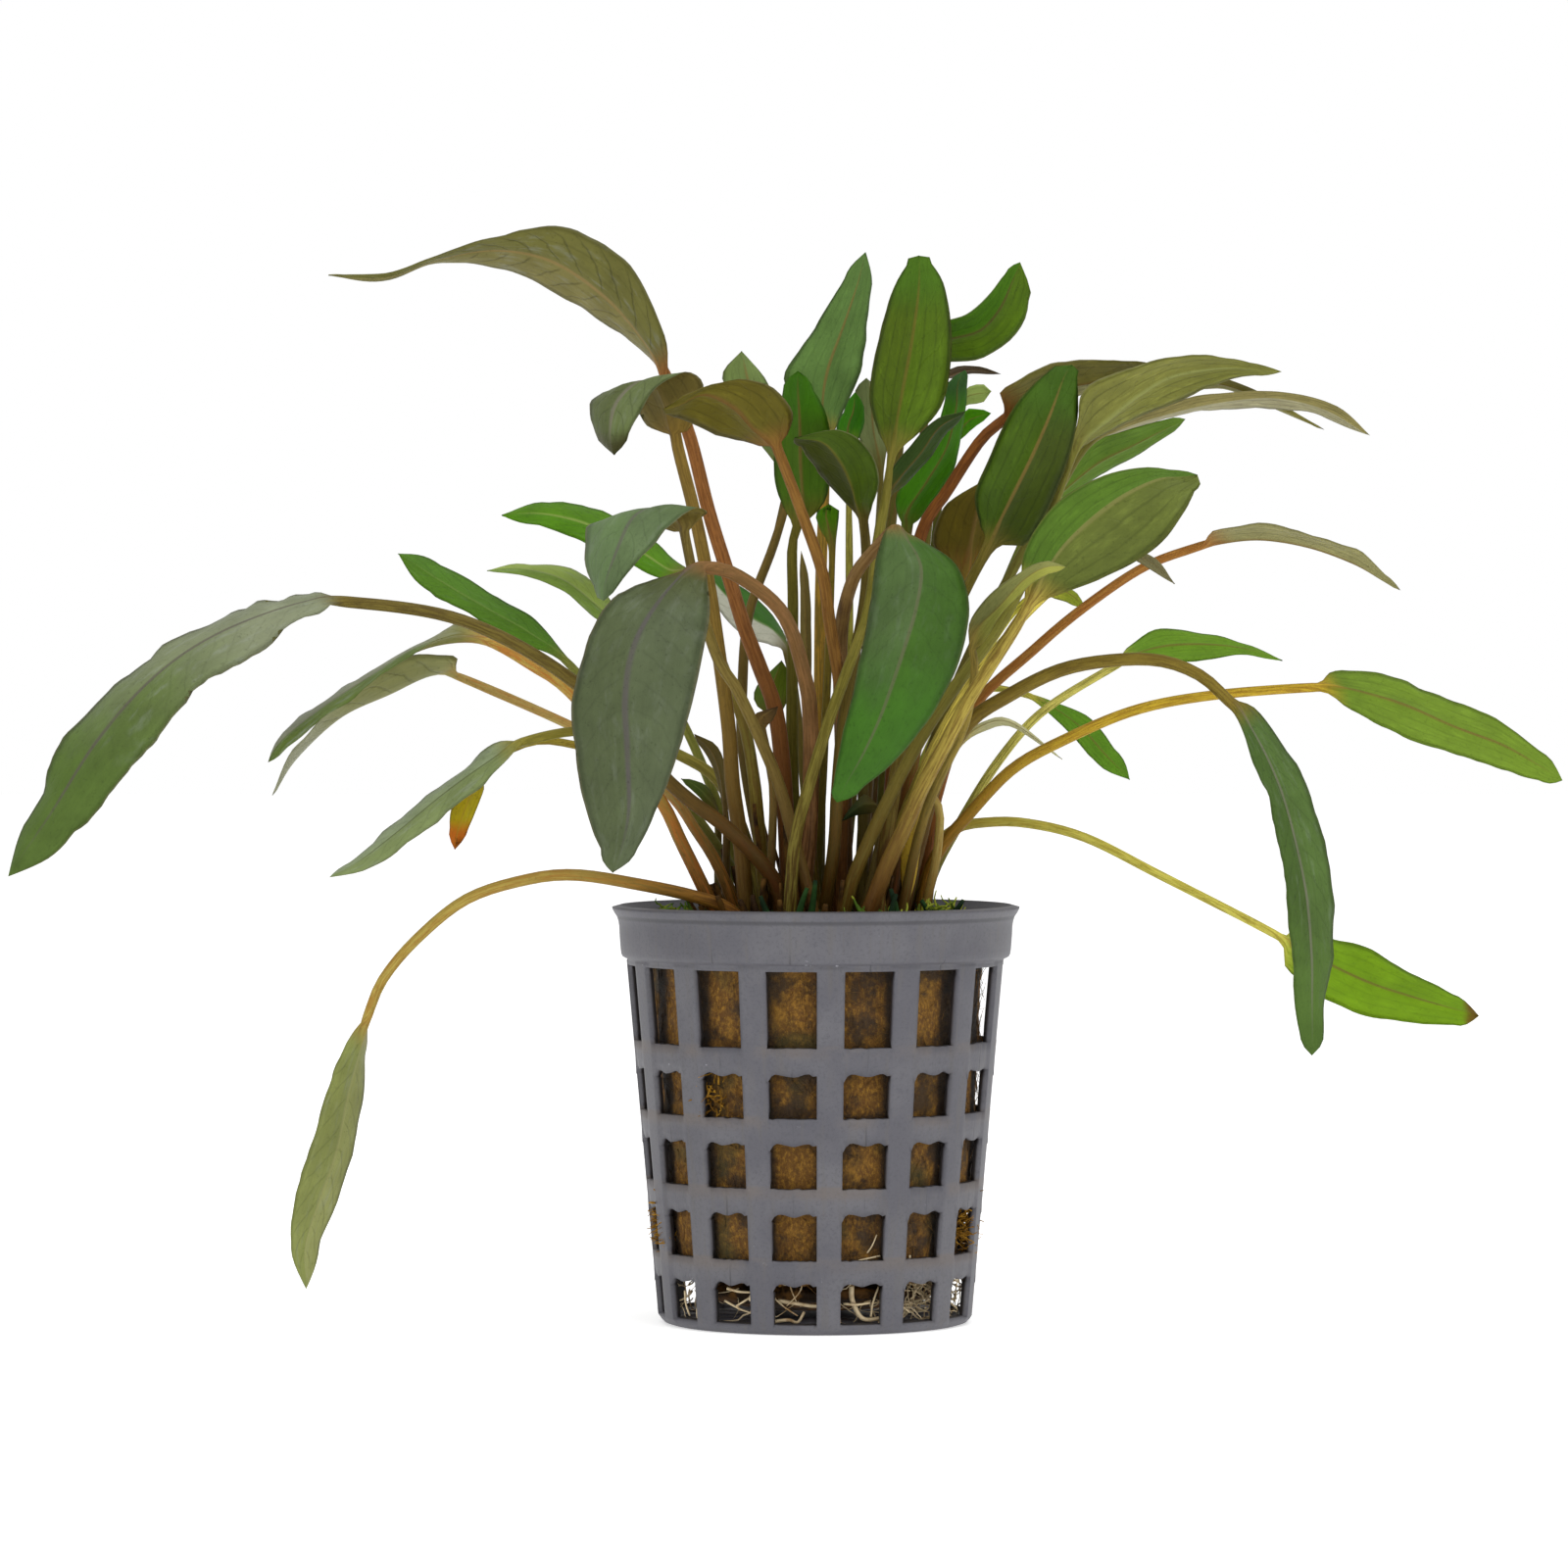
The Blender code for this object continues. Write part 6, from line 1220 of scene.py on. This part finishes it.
leaf("drooping_right", "grey_green", 0.71,
     [(9.9, -6), (12.4, 58, -5.2), (14.6, 66, -5), (18.5, 73.3, -5), (23.8, 77, -5), (29.9, 80, -5),
      (36.1, 81.2, -5), (42.2, 81.2, -5), (47.1, 79.4, -5), (50.6, 76.3, -5)],
     [(51.9, 73.6, -7, 52.5, 74.1, -6, 54.1, 75.2, -5), (53.4, 69.1, -9, 55.1, 69.5, -7, 58.1, 69.9, -5),
      (55.2, 64.7, -11, 57.2, 64.3, -8, 60.5, 64.7, -6), (56.9, 58.3, -12, 58.9, 58, -9, 62.5, 58.3, -7),
      (57.7, 52.3, -13, 60.1, 51.9, -10, 63.5, 52.3, -8),
      (58.4, 45.1, -13, 60.7, 44.7, -10.5, 63.5, 45.1, -8),
      (58.8, 39.1, -12, 60.8, 38.7, -10.5, 62.4, 39.1, -9),
      (59.5, 35.1, -11, 60.9, 34.9, -10.5, 62.3, 35.1, -10)],
     (60.9, 32.7, -10.5), top=(68, 92, 38), top_far=(78, 102, 48), tip_tone=(74, 100, 40), tip_length=0.4,
     rib=(116, 114, 98), rib_width=0.06, under=(104, 108, 54), foot=(83, 52, 13), stalk_tone=(128, 110, 40),
     stalk_stripe=(100, 80, 28), margin=(112, 122, 78), streak=0.15)
leaf("low_right_green", "bright_green", 0.53,
     [(11.9, 8.8), (12.6, 54, 10), (14.8, 58.5, 12), (17.2, 60.6, 14), (20.2, 61.3, 16), (25.6, 61.3, 19),
      (33, 59.5, 22), (42.2, 54.9, 24), (56.2, 47.7, 25.5)],
     [(58.4, 47.9, 28, 58.4, 46.2, 26, 57.7, 43.5, 24),
      (62.5, 47.5, 29.5, 62.3, 44.2, 26.5, 61.7, 40.2, 24),
      (67.7, 45.8, 30, 67.7, 41.7, 27, 67.1, 37.8, 24), (73.1, 42.9, 30, 73.1, 39.9, 27, 72.8, 36.8, 25),
      (77.9, 40.4, 29, 77.9, 38.5, 27, 78.1, 36.5, 26)],
     (81.4, 37.6, 27), top=(110, 160, 0), top_far=(106, 158, 0), rib=(142, 128, 54), rib_width=0.05,
     under=(118, 154, 22), foot=(107, 74, 14), stalk_tone=(226, 214, 98), stalk_stripe=(160, 134, 44),
     tip_tone=(112, 82, 26), tip_length=0.08, margin=(136, 164, 50), streak=0.15, glow=0.3)
leaf("small_green_right", "green", 0.42,
     [(9.2, 9.2), (10.6, 58, 11.5), (12.8, 68, 14.5), (17.1, 76, 18), (21, 77.8, 20), (25.5, 77.1, 21)],
     [(29.6, 76, 23, 29.1, 75.3, 22, 28.4, 74.9, 21), (33.7, 73.9, 24, 32.6, 72.8, 22.5, 31.4, 72.1, 21.5),
      (36.8, 70.3, 24, 35.6, 69.5, 23, 34.1, 68.9, 22)],
     (38.5, 66.6, 23), top=(108, 180, 28), top_far=(108, 182, 10), under=(98, 138, 34), rib=(120, 154, 62),
     foot=(86, 64, 15), stalk_tone=(214, 196, 84), glow=0.3)
leaf("thin_right", "green", 0.42,
     [(10.4, 7), (11.6, 58, 7.6), (14.5, 66, 9.4), (17.6, 71, 10.4)],
     [(20.7, 73.8, 11.6, 20.7, 73.4, 11.2, 20.9, 72.6, 11.6),
      (24.2, 73.9, 12, 24.2, 73.5, 11.6, 24.2, 73, 12)],
     (30.2, 69.1, 12.4), top=(210, 208, 160), under=(206, 204, 156), rib=(148, 150, 104), foot=(84, 64, 15),
     stalk_tone=(190, 174, 100), glow=0.25)
leaf("small_curl_right", "sage", 0.42,
     [(7.5, -7.2), (10.6, 62, -7), (18, 77, -7.8), (27, 88, -9), (35.8, 94.4, -11)],
     [(40.8, 94.2, -12.4, 40.6, 93.5, -12, 40, 93, -12.4)],
     (44, 90.6, -13), top=(148, 148, 110), top_far=(138, 126, 80), under=(122, 116, 80), rib=(136, 130, 94),
     foot=(84, 54, 14), stalk_tone=(232, 212, 92))
leaf("small_tip_right", "bright_green", 0.42,
     [(11.5, 5.2), (13.2, 62, 5.9), (17, 75, 8.2), (23, 85.6, 11), (27, 89.4, 12)],
     [(29.1, 91, 13, 29.3, 90, 12.4, 29.2, 88.8, 11.8), (31.6, 89.8, 13.4, 31.3, 89.2, 13, 31, 88.3, 12.6)],
     (33, 87.7, 13.4), top=(144, 156, 44), under=(142, 154, 44), rib=(140, 150, 70), foot=(84, 62, 15),
     stalk_tone=(210, 202, 70), glow=0.25)


# The crown
# Old leaf bases and short rootstock make a mossy cushion on the wool, inside the rim; its dark brown is
# partly their own colour and partly painted shade under the leaves.

CROWN_RADIUS = 17.2
CROWN_BOTTOM = 46.6
CROWN_RISE = 2.3
CROWN_UNDERSIDE = 0.3


def crown_point(angle, row):
    """The underside is flat, and the top is domed and uneven."""
    reach = CROWN_RADIUS * row / CROWN_UNDERSIDE
    height = CROWN_BOTTOM
    uneven = 0.5 * lumps_at(angle, 3, row * 3)
    if row >= CROWN_UNDERSIDE:
        reach = CROWN_RADIUS * (1 - (row - CROWN_UNDERSIDE) / (1 - CROWN_UNDERSIDE))
        height += CROWN_RISE * math.sqrt(max(0.0, 1 - (reach / CROWN_RADIUS) ** 4))
    reach += uneven * min(1.0, row * 4) * min(1.0, (1 - row) * 4)
    height += uneven * min(1.0, (1 - row) * 3) if row > CROWN_UNDERSIDE else 0.0
    return round_axis(angle, reach, height)


def crown_finish():
    finish, paint, shader = new_finish("rootstock")
    lumps = paint.noise(paint.place(), 420.0, 5.0, 0.65)
    moss = paint.noise(paint.place(), 240.0, 4.0, 0.6)
    # Dark browns, partly the rootstock's own colour and partly painted shade under the leaves
    base = paint.blend((34, 24, 8), (66, 48, 18), lumps.rise(0.45, 0.7))
    base = base.tint((44, 56, 16), moss.rise(0.52, 0.68) * 0.7)
    coat(shader, base, 0.75 + lumps * 0.2, lumps + moss * 0.5, 0.8, 0.0005)
    return finish


place_piece(lump(120, 26, crown_point), "crown_cushion", crown_finish(), ["crown"])


# The moss and the old stalks
# Stumps of cut and rotted leaf stalks stand between the living ones, and green threads of moss and
# pale bits of duckweed lie on the crown and against the inside of the rim.

CROWN_REACH = 16.0
STUMP_COUNT = 90
MOSS_COUNT = 420
# Duckweed lies against the rim, on both sides: (least and greatest across, depth, count)
DUCKWEED_PLACES = (((12.4, 17.6), -11.0, 46), ((-19.4, -14.6), -9.0, 26), ((3.0, 11.0), -15.0, 16))
RIM_INSIDE_RADIUS = 22.0
# Young shoots lean out at the front of the crown, their near-black partly painted shade under the leaves:
# (across, depth, length, lean to the right)
SHOOTS = (
    (-4.6, -15.4, 5.6, -0.4), (-3.2, -15.8, 6.6, 0.35), (-1.4, -15.2, 7.4, 0.15), (8.4, -15.6, 5.6, 0.3),
    (10.2, -14.8, 6.2, -0.2), (14.0, -12.6, 6.0, 0.8), (15.2, -12.0, 5.2, -0.5),
)


def keep_inside(paths, limit_at):
    """Points further out than the limit for their height are drawn in to it."""
    for path in paths:
        for point, _ in path:
            limit = limit_at(point.z)
            reach = math.hypot(point.x, point.y)
            if reach > limit:
                point.x *= limit / reach
                point.y *= limit / reach


random.seed(41)
stumps = []
for _ in range(STUMP_COUNT):
    angle = random.uniform(0, TURN)
    reach = CROWN_REACH * 0.9 * math.sqrt(random.random())
    start = round_axis(angle, reach, FOOT_HEIGHT - 1.2)
    lean = (start.x * 0.03, start.y * 0.03, 1)
    height = random.uniform(6, 22) * (1 - reach / CROWN_REACH) ** 0.8 + 1.5
    stumps.append(strand(start, lean, height, random.uniform(0.4, 0.8), 0.07, 7))
stump_skin = scrap_finish("old_stalk_skin", (40, 24, 6), (88, 60, 18))
fibres("old_stalks", stumps, stump_skin, (), 2)

moss = []
for _ in range(MOSS_COUNT):
    angle = random.uniform(0, TURN)
    start = round_axis(angle, CROWN_REACH * math.sqrt(random.uniform(0.15, 1.0)), FOOT_HEIGHT - 0.8)
    heading = (random.uniform(-1, 1), random.uniform(-1, 1), random.uniform(0.2, 1.4))
    moss.append(strand(start, heading, random.uniform(1.5, 4.5), random.uniform(0.10, 0.26), 0.35))
fibres("moss_threads", moss, scrap_finish("moss_skin", (24, 42, 14), (62, 84, 26)), (), 1)

duckweed = []
for (low, high), depth, count in DUCKWEED_PLACES:
    for _ in range(count):
        start = (random.uniform(low, high), depth + random.uniform(-2.5, 2.5), random.uniform(49.3, 51.2))
        heading = (random.uniform(-1, 1), random.uniform(-0.6, 0.6), random.uniform(0.1, 1.1))
        duckweed.append(strand(start, heading, random.uniform(0.8, 2.6), random.uniform(0.12, 0.30), 0.4))
keep_inside(duckweed, lambda height: RIM_INSIDE_RADIUS)
duckweed_skin = scrap_finish("duckweed_skin", (64, 90, 20), (150, 156, 50))
fibres("duckweed", duckweed, duckweed_skin, (), 1)

shoots = []
for across, depth, length, lean in SHOOTS:
    shoots.append(strand((across, depth, FOOT_HEIGHT - 0.6), (lean, -0.12, 1.0), length, 0.62, 0.10, 7))
# The shoots' near-black skin is partly painted shade under the leaves
fibres("young_shoots", shoots, scrap_finish("shoot_skin", (12, 32, 12), (30, 60, 20)), (), 3)


# The roots
# Young cream roots have grown down through the wool. They loop and branch in the lowest row of
# windows, where the wool ends above the floor, and a few curl out of the row above.

ROOT_PITCH = 0.35
LOOSE_ROOT_COUNT = 90
ROOT_GAP = 0.25
# Roots lower than this lie on the pot's floor
LOW_ROOT_HEIGHT = 5.5
FLOOR_TOP = 1.3
# Each root is its measured points and its radius. These three take the place of solids
ROOTS = {
    "root_thick_loop": ((((4.4, 5.2, -16), (4.4, 4.2, -16.4), (4.5, 2.6, -16.4), (5.6, 0.5, -16.2),
                          (7.2, 0.3, -15.6), (9.0, 0.9, -14.5)), 0.34),),
    "root_arch": ((((-6.2, 0.2, -16.0), (-5.6, -0.1, -16.4), (-4.4, 0.1, -16.7), (-3.2, 0.2, -16.7),
                    (-2.2, -0.1, -16.6), (-1.4, 1.2, -16.4)), 0.26),),
    "root_cross": ((((-4.6, 2.6, -16.2), (-2.2, 2.2, -16.6), (0.0, 1.9, -16.8), (2.2, 2.3, -16.6)), 0.26),),
}
# And these have no solids
FINE_ROOTS = (
    (((6.8, 0.6, -15.8), (7.0, 2.2, -16.2), (7.7, 4.3, -15.8)), 0.15),
    (((3.4, 2.2, -16.9), (5.0, 2.1, -17.0), (6.7, 2.3, -16.6)), 0.18),
    (((-10.9, 4.1, -14.4), (-9.4, 3.7, -14.9), (-7.9, 3.6, -15.3)), 0.2),
    (((-11.2, 2.6, -13.9), (-9.4, 1.6, -14.6), (-7.8, 1.0, -15.2)), 0.16),
    (((-3.4, 5.4, -16.9), (-3.0, 3.9, -17.2), (-2.4, 2.5, -17.1)), 0.1),
    (((-1.6, 5.0, -17.1), (-2.0, 3.6, -17.2), (-3.6, 1.9, -17.0)), 0.1),
    (((-5.6, 3.4, -16.4), (-4.0, 1.9, -16.9), (-2.2, 0.7, -16.8)), 0.12),
    (((3.8, 7.3, -17.0), (5.2, 7.5, -17.4), (7.9, 8.1, -17.0)), 0.16),
    (((6.2, 8.3, -17.1), (6.9, 9.3, -17.4), (7.5, 10.7, -17.2)), 0.1),
    (((12.1, 8.1, -15.6), (12.5, 6.6, -15.9), (12.7, 5.2, -15.6)), 0.14),
    (((9.8, 1.7, -15.8), (7.7, -0.3, -16.6), (5.8, -1.9, -16.6)), 0.12),
    (((-14.5, 2.3, -11.2), (-14.9, 1.0, -11.0), (-14.6, 0.2, -11.0), (-14.2, 1.0, -11.4)), 0.14),
    (((-16.6, 3.8, -9.2), (-16.3, 2.2, -9.0), (-15.8, 0.7, -9.6)), 0.16),
)


def root_finish():
    finish, paint, shader = new_finish("root_skin")
    stain = paint.noise(paint.place(), 500.0, 4.0, 0.6)
    base = paint.blend((206, 186, 148), (150, 118, 74), stain.rise(0.5, 0.72))
    coat(shader, base, 0.42 + stain * 0.2, stain, 0.4, 0.0001)
    return finish


def root_path(points, radius):
    """A root through measured points, thinner toward its tip."""
    places = [seen(point) for point in points]
    found, _ = even_steps(places, 0, len(places) - 1, ROOT_PITCH)
    last = len(found) - 1
    return [(along_curve(places, at), radius * mix(1, 0.7, step / last)) for step, at in enumerate(found)]


root_skin = root_finish()
for name, parts in ROOTS.items():
    fibres(name + "_skin", [root_path(*part) for part in parts], root_skin, [name], 2)

root_paths = [root_path(*part) for part in FINE_ROOTS]
random.seed(23)
for _ in range(LOOSE_ROOT_COUNT):
    across = random.uniform(8.5, 18.2)
    start = seen((across, random.uniform(1.0, 6.4), -math.sqrt(17.4**2 - min(across, 17.2) ** 2) * 0.8))
    heading = (random.uniform(-1, 1), random.uniform(-0.4, 0.2), random.uniform(-1, 0.5))
    root_paths.append(strand(start, heading, random.uniform(3, 7), random.uniform(0.07, 0.17), 0.45, 9))
for _ in range(LOOSE_ROOT_COUNT):
    angle = math.radians(random.uniform(0, 360))
    start = round_axis(angle, random.uniform(13, 17.5), random.uniform(3.0, 6.2))
    heading = (random.uniform(-1, 1), random.uniform(-1, 1), random.uniform(-0.7, 0.1))
    root_paths.append(strand(start, heading, random.uniform(4, 9), random.uniform(0.07, 0.16), 0.4, 9))
keep_inside(root_paths, lambda height: outer_radius(height) - WALL - ROOT_GAP)
for path in root_paths:
    for point, _ in path:
        if point.z < LOW_ROOT_HEIGHT:
            point.z = max(point.z, FLOOR_TOP)
fibres("fine_roots", root_paths, root_skin, (), 1)


# The ground and the light
# The pot stands on plain white ground, in the even light of large soft lamps from all round.

# How strongly the white surroundings light the plant, where 1 is as bright as they look
SKY_LIGHT = 0.75
PLANT_MIDDLE = Vector((0.0, 0.0, 0.07))
# Each lamp: name, place, size and power
LAMPS = (
    ("lamp_above", (0.1, -0.25, 0.75), 0.6, 3.2),
    ("lamp_front_left", (-0.7, -0.7, 0.35), 0.5, 1.6),
    ("lamp_front_right", (0.75, -0.6, 0.3), 0.5, 1.1),
)

ground = bmesh.new()
bmesh.ops.create_grid(ground, x_segments=1, y_segments=1, size=3.0)
ground_data = bpy.data.meshes.new("ground")
ground.to_mesh(ground_data)
ground.free()
ground_finish, _, ground_shader = new_finish("white_ground")
ground_shader["Base Color"].default_value = (0.8, 0.8, 0.8, 1.0)
ground_shader["Roughness"].default_value = 0.9
ground_shader["Emission Color"].default_value = (1.0, 1.0, 1.0, 1.0)
ground_shader["Emission Strength"].default_value = 0.5
ground_data.materials.append(ground_finish)
floor = bpy.data.objects.new("ground", ground_data)
bpy.context.scene.collection.objects.link(floor)

sky = bpy.data.worlds.new("white_sky")
sky.use_nodes = True
straight = Field(sky.node_tree).node("ShaderNodeLightPath", {}, {})
backdrop = sky.node_tree.nodes["Background"].inputs
backdrop["Color"].default_value = (1.0, 1.0, 1.0, 1.0)
feed(straight * (1 - SKY_LIGHT) + SKY_LIGHT, backdrop["Strength"])
bpy.context.scene.world = sky
bpy.context.scene.view_settings.view_transform = "Standard"

for name, place, size, power in LAMPS:
    lamp_data = bpy.data.lights.new(name, "AREA")
    lamp_data.shape = "SQUARE"
    lamp_data.size = size
    lamp_data.energy = power
    lamp = bpy.data.objects.new(name, lamp_data)
    lamp.location = place
    lamp.rotation_euler = (PLANT_MIDDLE - Vector(place)).to_track_quat("-Z", "Y").to_euler()
    bpy.context.scene.collection.objects.link(lamp)
